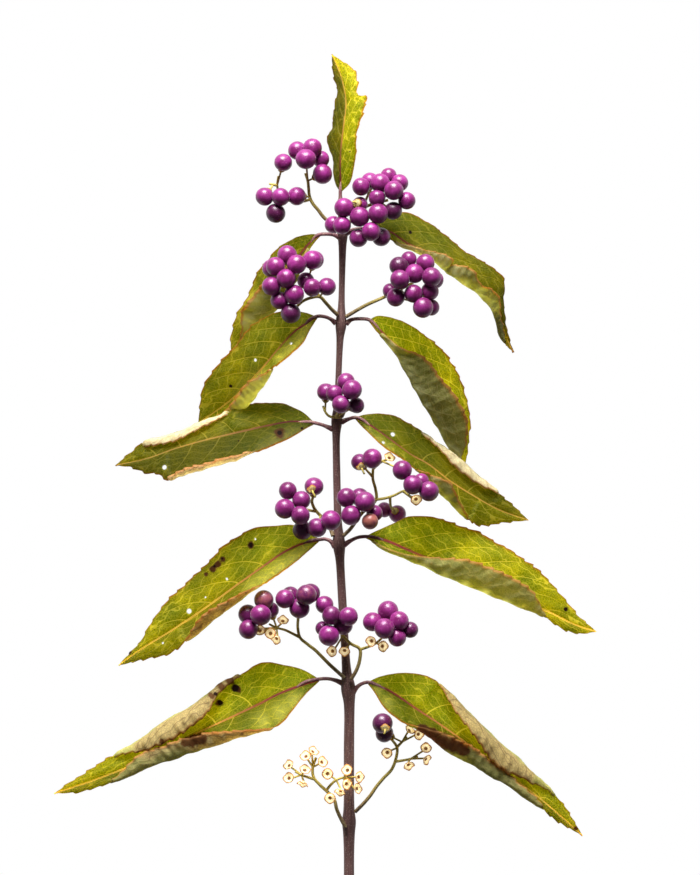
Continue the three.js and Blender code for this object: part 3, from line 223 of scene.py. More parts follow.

# The far half of a blade is the one that sinks towards the surface and the near half the one that
# stands up from it. Each has a margin and, where it rolls over, a shoulder, which is the outside of the
# roll. Both run from the first point of the midrib to its last, which aren't given again. The painted
# shading, far half first, is painted light and shade on each half: 0.1 makes a half 10 % brighter.
# Marks are round places as x, y, radius, and dry and bleached ones show on the rolled part alone. Pale
# ones are partly paler, thinner tissue and partly a painted sheen of light along folds and rolls.
LEAVES = {
    "leaf_end": {
        "tint": (-0.25, 0.5),
        "petiole": [[3.1, 54.4, 11.1], [3.1, 57, 11.4]],
        "rib": [
            [3.1, 56.4, 11.3], [3.05, 64, 12.3], [3.7, 70, 12], [4.1, 74.5, 11], [3.2, 79.5, 9],
            [1.3, 83.6, 6.8],
        ],
        "far_margin": [
            [1.95, 58.5, 9.8], [1.6, 62.5, 8.8], [0.5, 67.6, 8.3], [1.4, 69.6, 8.2], [1.8, 73, 7.8],
            [2.4, 77, 7.2], [1.7, 80.5, 6.8],
        ],
        "near_margin": [
            [4.9, 58.3, 13.2], [6, 63, 15.4], [6.2, 69, 16], [7.4, 73, 15.2], [8.2, 75.4, 14.2],
            [6.4, 76, 12.8], [6.4, 78.4, 11.6], [5.9, 80.8, 10], [3.9, 82.3, 8.4],
        ],
        "marks": {
            "spot": [(5, 64.5, 0.16)],
            "pale": [(5, 64.5, 0.3), (2.3, 61, 0.3)],
        },
    },
    "leaf_left_2": {
        "tint": (0.05, 0.05),
        "petiole": [[3, 47.4, 11], [1.9, 47.9, 11.1], [0.2, 48.1, 11.2], [-1.6, 47.8, 11]],
        "rib": [
            [-1, 48, 11.1], [-3.5, 45.9, 10.8], [-6.5, 42, 9.5], [-10, 37, 6.6], [-13, 32.8, 3.7],
            [-16, 28.6, 1.2], [-17.5, 26.4, 0.3], [-18.5, 25, 0.3],
        ],
        "far_margin": [
            [-3, 48.1, 10], [-5.5, 47.7, 8.3], [-9.5, 45.4, 5.5], [-13.5, 40.2, 3.2], [-15.5, 36, 2],
            [-18, 31.5, 1.1], [-18.8, 28.2, 0.3], [-18.9, 27, 0.3],
        ],
        "near_shoulder": [
            [-3.6, 44.2, 11.8], [-5.5, 39.5, 10.6], [-8.2, 35, 7.2], [-11.5, 31.2, 3.6],
            [-14.5, 28, 1.6], [-16.6, 26.2, 0.3],
        ],
        "near_margin": [
            [-4.6, 43.8, 12.8], [-8.3, 41, 11.6], [-12, 38.5, 9], [-14.5, 36, 7], [-16.6, 32.5, 4.6],
            [-16.6, 29.2, 2.4], [-17.2, 26.6, 0.3],
        ],
        "marks": {
            "pale": [(-14, 35.5, 1.6), (-15.8, 31, 1.6)],
        },
    },
    "leaf_left_3": {
        "tint": (0, 0.1),
        "petiole": [
            [2.2, 30.3, 10.5], [1.2, 31.1, 10.6], [0, 31.6, 10.7], [-1.5, 31.7, 10.8], [-3, 31, 10.8],
        ],
        "rib": [
            [-1.5, 31.65, 10.75], [-6, 28.7, 10.9], [-9.5, 25, 10.1], [-12.5, 21.5, 8.6],
            [-16.2, 17.6, 5.4], [-19.2, 14.8, 3.2], [-22.5, 12.4, 1.6], [-25, 10.8, 0.8],
        ],
        "far_margin": [
            [-4, 32.5, 9.6], [-7, 32.9, 8.2], [-10.5, 32.2, 7.1], [-14.5, 29.8, 6], [-18, 26, 4.8],
            [-21, 22.5, 3.6], [-24.2, 18, 2.2], [-25, 14.5, 1.3],
        ],
        "near_shoulder": [
            [-3.1, 29, 12.6], [-4.3, 26.8, 14.6], [-5.9, 25, 15.6], [-8, 23.2, 15.4],
            [-10.2, 21.3, 13.8], [-11.6, 19, 12], [-13, 17.2, 10], [-14.5, 15, 7.6], [-16.5, 12.9, 4.8],
            [-20, 11.2, 2.2],
        ],
        "near_margin": [
            [-3.1, 29, 12.6], [-4.3, 26.8, 14.6], [-5.9, 25, 15.8], [-8, 23.2, 15.8],
            [-10.5, 21.4, 14.8], [-12.6, 20.1, 13.6], [-14.4, 18.9, 12], [-16.4, 17.2, 9.6],
            [-17.8, 15.6, 7.6], [-18.9, 13.9, 5.4], [-21, 12.2, 2.6],
        ],
        "marks": {
            "pale": [
                (-3.6, 29.2, 1.6), (-4.8, 27.2, 1.8), (-6.8, 25.2, 1.8), (-8.8, 23.4, 1.4),
                (-12.4, 19, 2.4), (-14.2, 17, 2.4), (-16, 15, 2.4),
            ],
            "hole": [(-14, 23, 0.4), (-6.8, 26.3, 0.35)],
            "spot": [(-18.9, 17.8, 0.35)],
        },
    },
    "leaf_left_4": {
        "tint": (-0.18, -0.4),
        "petiole": [
            [1.5, 9.2, 9.4], [0.5, 9.6, 9.6], [-0.5, 10, 9.7], [-2, 10.4, 9.8], [-3.5, 10.6, 9.9],
        ],
        "rib": [
            [-2, 10.4, 9.8], [-6.5, 10.75, 10.2], [-11, 10, 9.9], [-17, 8.7, 9], [-24, 7.1, 7.2],
            [-30, 5.4, 5.4], [-35.5, 3.4, 3.4], [-41.6, 2, 1.2],
        ],
        "far_shoulder": [
            [-4, 12.2, 7.6], [-8, 14.2, 5.6], [-13, 14.5, 5.6], [-17.5, 13.6, 5.4], [-20, 12.5, 5.1],
            [-23, 11.2, 4.6], [-26.5, 9.8, 4], [-29, 8.7, 3.5], [-32, 7.8, 3], [-36.5, 6.5, 2.2],
            [-39, 4.5, 1.4],
        ],
        "far_margin": [
            [-4, 12.2, 7.6], [-8, 14.2, 5.6], [-13, 14.5, 5.6], [-17.5, 13.55, 5.5], [-20, 12.2, 5.6],
            [-23, 10.5, 5.8], [-25.5, 9.1, 5.8], [-28, 7.8, 5.6], [-30, 6.8, 5.2], [-32, 6.2, 4.6],
            [-35, 6, 3], [-37.3, 5.9, 2], [-39, 4.4, 1.4],
        ],
        "near_shoulder": [
            [-3.5, 9.6, 11.2], [-7, 7.5, 14], [-11.5, 5.4, 15.4], [-14.5, 4.4, 15.6], [-20, 2.5, 14.2],
            [-25, 1.1, 12], [-28, 0.2, 10.4], [-30.2, -0.7, 9], [-31.5, -0.9, 8.4], [-33.3, 0.3, 6.6],
            [-36, 0.5, 4.5], [-39, 1.6, 2.4],
        ],
        "near_margin": [
            [-3.5, 9.6, 11.2], [-7, 7.5, 14], [-11.5, 5.5, 15.6], [-14.5, 4.7, 16], [-20, 3.3, 15.4],
            [-25, 2.2, 13.2], [-28, 1.2, 11.6], [-30, 0.3, 10], [-31.6, -0.8, 8.6], [-33.3, 0.4, 6.6],
            [-36, 0.5, 4.5], [-39, 1.6, 2.4],
        ],
        "marks": {
            "pale": [(-5, 8.6, 1.4), (-7.5, 7.6, 1.8), (-10, 6.4, 1.8), (-12.5, 5.4, 1.2)],
            "bleached": [
                (-19, 12.8, 1.6), (-22, 11.4, 2.2), (-25, 9.8, 2.6), (-28.5, 8.4, 2.8), (-32, 7, 2.8),
                (-35.5, 6.2, 2.4), (-15, 4.4, 1.8), (-18, 3.4, 2), (-21, 2.6, 2), (-24, 1.8, 2),
                (-27, 0.8, 2), (-30.5, -0.4, 2),
            ],
            "brown": [(-9, 8.4, 1.4)],
            "spot": [(-9, 8.4, 0.55), (-4.6, 9.3, 0.3), (-17.3, 7, 0.3)],
            "hole": [(-32.2, 1.6, 0.6)],
        },
    },
    "leaf_left_5": {
        "tint": (0.22, 0.05),
        "petiole": [
            [2, -14.4, 8], [1.2, -13.3, 8.1], [0, -12.8, 8.2], [-1, -12.9, 8.3], [-2.5, -13.1, 8.4],
        ],
        "rib": [
            [-1, -13, 8.3], [-5, -13.9, 8.7], [-8, -15.3, 8.6], [-12, -18, 8.1], [-17, -21.5, 7.1],
            [-24, -26.6, 5.2], [-31, -31.3, 3.1], [-37, -35, 1.6], [-41.1, -38, 0.8],
        ],
        "far_margin": [
            [-3.5, -11, 7.2], [-6, -10.1, 6.4], [-10, -10.1, 5.2], [-14, -10.7, 4.3], [-18, -12.7, 3.6],
            [-22, -16, 3], [-27, -21, 2.2], [-32, -26, 1.5], [-35, -29.8, 1.1], [-37, -33.3, 0.9],
        ],
        "near_shoulder": [
            [-3, -14.8, 9.7], [-7, -18, 12], [-11, -20.7, 13], [-14.5, -23, 12.6], [-18, -25.6, 11.4],
            [-20, -27.1, 10.4], [-22, -28.7, 9.3], [-24, -30.4, 8], [-26, -32, 6.6], [-28, -33.4, 5.6],
            [-31, -35.8, 4.1], [-35, -36.6, 2.4],
        ],
        "near_margin": [
            [-3, -14.8, 9.7], [-7, -18, 12], [-11, -20.6, 13.2], [-14.5, -22.5, 13.8],
            [-18, -24.1, 13.2], [-20, -25.1, 12.6], [-22, -26.5, 11.8], [-24, -28.1, 10.6],
            [-25.6, -29.6, 9.4], [-26.8, -31.6, 7.6], [-28.2, -33.4, 6], [-31, -35.8, 4.1],
            [-35, -36.6, 2.4],
        ],
        "marks": {
            "pale": [
                (-4, -15.2, 1.8), (-6, -16.6, 2), (-9, -18.6, 2.2), (-12, -20.8, 2.2),
                (-14.5, -22.4, 1.8),
            ],
            "dry": [
                (-16, -23.6, 2.4), (-19, -25.6, 2.6), (-22, -27.6, 2.6), (-25, -30, 2.6), (-27, -32, 2),
            ],
            "spot": [(-14.9, -14, 0.5), (-22.2, -18.3, 0.3), (-20.6, -16.8, 0.24), (-39.5, -35.6, 0.4)],
            "brown": [
                (-14.9, -14, 0.9), (-20.4, -16.9, 0.7), (-21.5, -17.9, 0.85), (-22.6, -18.9, 0.8),
                (-23.9, -19.9, 0.6), (-39.5, -35.5, 0.8),
            ],
            "hole": [
                (-27.3, -27.3, 0.62), (-14, -12.8, 0.3), (-19.7, -20.8, 0.34), (-24, -24.5, 0.28),
                (-32.6, -33.7, 0.3),
            ],
        },
    },
    "leaf_left_6": {
        "tint": (0.4, 0),
        "petiole": [
            [3.6, -41.8, 5.5], [2.3, -41.2, 5.7], [0.5, -40.8, 5.8], [-2, -41, 5.9], [-4, -41.5, 6],
        ],
        "rib": [
            [-1, -40.95, 5.85], [-8, -43.3, 6.3], [-14, -46.2, 6.2], [-20, -49, 5.6], [-26, -51.8, 4.8],
            [-33, -55.5, 3.6], [-40.5, -59, 2.3], [-47, -61.5, 1.3], [-54, -63.8, 0.7],
        ],
        "far_shoulder": [
            [-4.5, -39, 5.2], [-8.5, -38, 4.2], [-12.5, -37.7, 3.4], [-16, -39.4, 3.1],
            [-18.5, -40.8, 3], [-21, -42, 2.9], [-25, -45.2, 2.9], [-29, -47.7, 2.8],
            [-33.5, -50.3, 2.5], [-37.5, -53.5, 2], [-41.5, -55.7, 1.5], [-46, -58.4, 1.1],
        ],
        "far_margin": [
            [-4.5, -39, 5.2], [-8.5, -38, 4.2], [-12.5, -37.7, 3.4], [-16, -39.5, 3.3],
            [-18.7, -41.6, 4], [-21.6, -44.2, 5.6], [-23.3, -46.9, 6.8], [-26.5, -50, 7.2],
            [-31, -53, 6.4], [-35, -55, 5], [-38.3, -55.4, 3.2], [-41.5, -56.2, 1.9], [-46, -58.5, 1.2],
        ],
        "near_shoulder": [
            [-4, -43.8, 8], [-6.5, -46.8, 10.2], [-9.5, -50.1, 11.2], [-12, -50.9, 11.2],
            [-15, -51.7, 10.8], [-18, -52.6, 10.2], [-21.5, -53.9, 9.2], [-24.5, -54.7, 8.2],
            [-27, -55.5, 7.2], [-30, -56.8, 6], [-33, -57.7, 5], [-38, -59.7, 3.6], [-42, -61.5, 2.6],
            [-44.5, -62.4, 2.2], [-49, -63.5, 1.4],
        ],
        "near_margin": [
            [-4, -43.8, 8], [-6.5, -46.8, 10.4], [-9.5, -50, 12], [-12, -50.5, 12.4],
            [-16, -50.9, 12.4], [-20, -51.3, 11.6], [-25, -51.9, 9.6], [-29, -53, 7.4],
            [-33, -54.6, 5.6], [-36.8, -56.2, 4.4], [-39, -57.9, 3.6], [-41.4, -60.4, 2.8],
            [-44.5, -62.3, 2.2], [-49, -63.5, 1.4],
        ],
        "marks": {
            "pale": [(-6, -45, 2), (-9, -47.4, 2.4), (-12.4, -49, 2)],
            "dry": [
                (-18, -41.2, 2.4), (-21, -43.5, 3), (-24, -46.5, 3.4), (-28, -49.4, 3.6),
                (-32, -52, 3.4), (-36, -54.2, 2.8), (-13, -51.2, 2.4), (-17, -51.8, 2.6),
                (-21, -52.8, 2.8), (-25, -53.8, 2.6),
            ],
            "brown": [
                (-19, -41.2, 1.1), (-17.4, -43, 0.8), (-20.8, -42.6, 0.9), (-21.4, -45.8, 0.8),
                (-22.6, -44.4, 0.8), (-26.2, -53, 1.5), (-24.2, -52.6, 1.2), (-28, -53.6, 1),
                (-32.6, -53.4, 0.8),
            ],
            "spot": [(-18, -42.7, 0.85), (-21, -45.7, 0.7), (-22, -44, 0.45)],
        },
    },
    "leaf_right_2": {
        "tint": (-0.2, -0.05),
        "petiole": [[4.3, 48.3, 11], [5.8, 49, 11], [7.5, 49.2, 10.9], [9.5, 49.1, 10.9]],
        "rib": [
            [7.5, 49.2, 10.9], [12.7, 48.7, 11.1], [16.5, 46.3, 11.1], [21, 44.3, 10.6],
            [26, 41.4, 9.2], [30.6, 37.9, 6.8], [34.5, 33.4, 3.6], [36, 28.9, 1.1], [36.8, 26.8, 0.3],
            [37.4, 24.9, 0.3],
        ],
        "far_margin": [
            [10.5, 51.3, 9.3], [13.5, 52.3, 8], [17, 52.4, 6.6], [20.5, 50.8, 5.6], [24.5, 47.8, 4.6],
            [29, 44.1, 3.8], [34.7, 40.9, 3.2], [36, 38.6, 3], [35.8, 35, 2.7], [36.2, 30.8, 1.3],
            [36.9, 27.6, 0.3],
        ],
        "near_shoulder": [
            [12.9, 47, 12.2], [14.5, 46, 12.4], [17.4, 44.8, 12.4], [21, 43.2, 12], [23, 41.6, 11.6],
            [26, 39.3, 10.6], [30, 36.7, 8.4], [33, 33.7, 5.4], [34.4, 30.6, 2.4], [35.6, 26.9, 0.3],
        ],
        "near_margin": [
            [12.9, 47.05, 12.4], [14.7, 46.2, 13], [17.5, 45.7, 13.8], [21, 44.6, 14.2],
            [23.7, 43.8, 14], [25.1, 42.9, 13.2], [25, 41.9, 12.2], [27.6, 41.7, 12.6],
            [29.6, 40.8, 12], [31, 38.5, 10.2], [33.5, 36.9, 8], [34.8, 34.8, 6], [35, 31.8, 3],
            [36, 27.6, 0.5],
        ],
        "marks": {
            "spot": [(17.1, 48.5, 0.4)],
            "pale": [
                (15, 45.8, 1.4), (18, 44.8, 1.4), (21, 43.6, 1.5), (23.6, 42.4, 1.5), (26, 40, 1.3),
                (28, 38.4, 1.2), (31, 36.4, 1.5), (33.2, 34.2, 1.4),
            ],
        },
    },
    "leaf_right_3": {
        "tint": (0.55, 0),
        "petiole": [
            [4.2, 30.2, 10.5], [5.2, 31, 10.7], [7.2, 31.2, 10.9], [8.8, 31, 11], [10, 30, 11.1],
        ],
        "rib": [
            [8.8, 31, 11], [11, 28.9, 11.2], [12.6, 27.2, 11], [15.5, 23.6, 9.8], [18.5, 19.4, 8.2],
            [21.5, 14.8, 6.2], [24, 9.8, 3.6], [26, 5.6, 1.6], [27.8, 2.4, 0.8],
        ],
        "far_margin": [
            [10.5, 31.8, 10], [14.5, 31.2, 7.8], [18.5, 29.2, 6], [21.5, 26.8, 4.9], [24.5, 23.5, 3.8],
            [26.5, 20.5, 3], [28.3, 16, 2.2], [29, 11.5, 1.5], [28.8, 7, 1.1],
        ],
        "near_shoulder": [
            [11, 28, 12.6], [13.8, 24.8, 12.8], [16.3, 20.2, 12], [19.5, 14.5, 9.6], [23, 8.8, 5],
            [25.3, 4.8, 2.1],
        ],
        "near_margin": [
            [10.8, 28.6, 13.4], [12.8, 27.2, 14.6], [15, 25.5, 14.6], [18.5, 24.1, 13], [21, 22, 11.2],
            [24, 18.5, 8.8], [26.5, 15, 6.6], [28.3, 10.7, 4.1], [28.3, 7.5, 2.7], [28.2, 4.5, 1.6],
        ],
        "marks": {
            "pale": [
                (13.2, 25.6, 1.3), (15, 22.8, 1.2), (16.6, 19.8, 1.2), (18.2, 16.8, 1.2),
                (19.8, 13.8, 1.2), (21.4, 11, 1.2), (23, 8.6, 1.2), (24.6, 5.8, 1.2), (26.4, 4, 1),
            ],
        },
    },
    "leaf_right_4": {
        "tint": (-0.2, -0.05),
        "petiole": [[3.3, 10.6, 9.5], [4.5, 11.1, 9.7], [6, 11.5, 9.9], [7.5, 11, 10]],
        "rib": [
            [6, 11.5, 9.9], [9, 10, 10.2], [13, 7.2, 10.1], [17, 4.3, 9.7], [20.7, 2.3, 9],
            [25, -1, 7.4], [30, -4.2, 5.2], [35, -7, 2.8], [40.4, -8.8, 0.9],
        ],
        "far_shoulder": [
            [8, 12.1, 8.6], [11, 12.3, 6.8], [15, 11.4, 5.3], [19, 8.9, 4.9], [21.6, 6.9, 4.7],
            [25.2, 4.6, 4.2], [28, 2.4, 3.6], [31.2, -0.7, 2.8], [34.6, -3.4, 2.1], [37.2, -5.6, 1.4],
        ],
        "far_margin": [
            [8, 12.1, 8.6], [11, 12.3, 6.8], [15, 11.35, 5.4], [19, 8.7, 5.4], [21.5, 6.3, 5.8],
            [24, 3.8, 6.2], [26.4, 1.3, 6], [29.6, -1, 5], [32.8, -2.7, 3.6], [35.2, -4.1, 2.2],
            [37.2, -5.7, 1.4],
        ],
        "near_shoulder": [
            [7.5, 9.8, 11.2], [11, 6.5, 13], [15, 3.5, 13.4], [18.2, 1.1, 12.8], [21, -1.3, 11.8],
            [23.3, -3.9, 10.4], [26.4, -6.9, 8.2], [29.3, -9.4, 6], [30.8, -10.1, 5.2],
            [32.5, -10, 4.4], [35.5, -9.5, 2.9],
        ],
        "near_margin": [
            [7.5, 9.8, 11.2], [11, 6.5, 13], [15, 3.6, 13.8], [18.4, 1.4, 14], [21.6, 0, 13.6],
            [24.8, -1.8, 12.2], [26.4, -4.6, 10.4], [28, -7.4, 8.4], [30, -9.9, 5.8], [32.5, -10, 4.4],
            [35.5, -9.5, 2.9],
        ],
        "marks": {
            "hole": [(13.6, 8.2, 0.55), (11.7, 6.6, 0.42)],
            "bleached": [
                (20.5, 7.6, 1.8), (23, 5.6, 2.2), (26, 3.2, 2.6), (29, 0.8, 2.6), (32, -1.8, 2.4),
                (34.6, -3.6, 1.8),
            ],
            "pale": [
                (8.6, 8.8, 1), (10.5, 7, 1.1), (12.5, 5.4, 1.1), (22, -2, 1.3), (24, -4.6, 1.3),
                (26.5, -7, 1.1),
            ],
        },
    },
    "leaf_right_5": {
        "tint": (0.35, 0.3),
        "petiole": [
            [3.8, -14, 8], [5, -13.2, 8.3], [6.5, -12.5, 8.4], [8, -12.3, 8.5], [10, -12.5, 8.7],
        ],
        "rib": [
            [8, -12.3, 8.5], [12, -13, 9], [16, -14.7, 9.2], [20, -16.4, 9], [27, -19, 8],
            [34, -22.2, 6.4], [40, -25.2, 4.4], [46, -28, 2.4], [50, -30, 1.4], [54, -31.3, 0.8],
        ],
        "far_margin": [
            [10, -11.3, 8.1], [13, -10, 7.6], [17, -8.3, 6.8], [22, -8.5, 5.8], [28, -10.6, 4.6],
            [34.5, -13.7, 3.6], [40.5, -17.3, 2.6], [45, -21.5, 1.8], [47.7, -24.7, 1.3],
            [51, -28.4, 0.9],
        ],
        "near_shoulder": [
            [12.5, -15.2, 10.6], [17.5, -17.1, 11.2], [23, -19.7, 11], [29, -22.3, 9.8],
            [35, -24.8, 7.6], [40, -26.8, 5.2], [43.4, -28.2, 3.6], [46.3, -30.1, 2.3],
            [50, -31.7, 1.4],
        ],
        "near_margin": [
            [12.5, -14.6, 12], [17.5, -15.9, 13.3], [24, -16.7, 13.4], [30, -17.4, 12.4],
            [35.5, -19.5, 10.4], [39.5, -21.9, 8.2], [42.2, -24.8, 5.7], [44, -28, 3.5],
            [46.3, -30.1, 2.3], [50, -31.7, 1.4],
        ],
        "marks": {
            "spot": [(48.3, -27, 0.5)],
            "pale": [(20, -18, 1), (24, -19.8, 1), (28, -21.8, 1), (32, -23.4, 1), (36, -25.4, 1)],
        },
    },
    "leaf_right_6": {
        "tint": (0.35, -0.05),
        "petiole": [
            [5.6, -43.6, 5.5], [6.2, -42.7, 5.7], [7.2, -41.9, 5.9], [8.5, -41.5, 6.1],
            [10, -41.9, 6.3],
        ],
        "rib": [
            [8.5, -41.5, 6.1], [12.5, -43, 6.5], [18, -46.6, 6.3], [24, -50.5, 5.6], [30, -54.8, 4.6],
            [36, -59.4, 3.4], [42.5, -64.4, 2.1], [47.5, -68.7, 1.2], [51.3, -72.2, 0.7],
        ],
        "far_shoulder": [
            [11, -40.4, 5.2], [15, -39.7, 4.2], [19.5, -40, 3.4], [22, -41.1, 3.2], [24, -43, 3],
            [26, -44.8, 2.9], [28.8, -47.8, 2.8], [32, -50.8, 2.5], [34.6, -53.4, 2.2],
            [38, -56.3, 1.9], [41, -59.3, 1.6], [44.5, -62.3, 1.2], [47.5, -65.8, 0.9],
        ],
        "far_margin": [
            [11, -40.4, 5.2], [15, -39.7, 4.2], [19.5, -40, 3.4], [22, -41.2, 3.5], [24, -43.8, 4.8],
            [25.5, -46, 6], [28.5, -50.5, 7.4], [31.3, -54.2, 7], [33, -56.7, 6.2], [36.5, -59.1, 4.9],
            [41, -61.6, 3], [44.5, -63.2, 1.6], [47.5, -66.2, 1],
        ],
        "near_shoulder": [
            [10, -43.4, 8.2], [12, -46.5, 10.2], [16, -49.5, 11], [20, -51.6, 10.4], [22.5, -53.7, 9.4],
            [25.5, -56, 8], [29.5, -57.8, 6.4], [32, -59.7, 5.4], [35.5, -61.6, 4.2], [40, -64.6, 2.8],
            [43.5, -67, 2.1], [46, -69, 1.6],
        ],
        "near_margin": [
            [10, -43.4, 8.2], [12, -46.5, 10.4], [16, -49.3, 12], [20, -50.4, 12.2], [24, -51.7, 11],
            [28, -53.4, 9], [31.5, -56.2, 6.6], [35, -58.8, 5], [38.5, -61.4, 3.8], [41.5, -64.2, 2.9],
            [43.8, -66.8, 2.2], [46, -68.9, 1.6],
        ],
        "marks": {
            "dry": [
                (24.4, -44.2, 2.6), (27, -47, 3), (30, -50.6, 3.2), (33, -53.8, 3.2), (36.5, -57, 2.8),
                (40, -60.2, 2.4),
            ],
            "brown": [
                (19.4, -50.8, 1.4), (21.4, -52, 1.7), (23.6, -53, 1.7), (25.8, -54, 1.7),
                (27.8, -55, 1.4), (50.4, -71, 0.6),
            ],
            "pale": [(10.5, -43, 1.2), (12.4, -45.4, 1.4)],
        },
    },
}

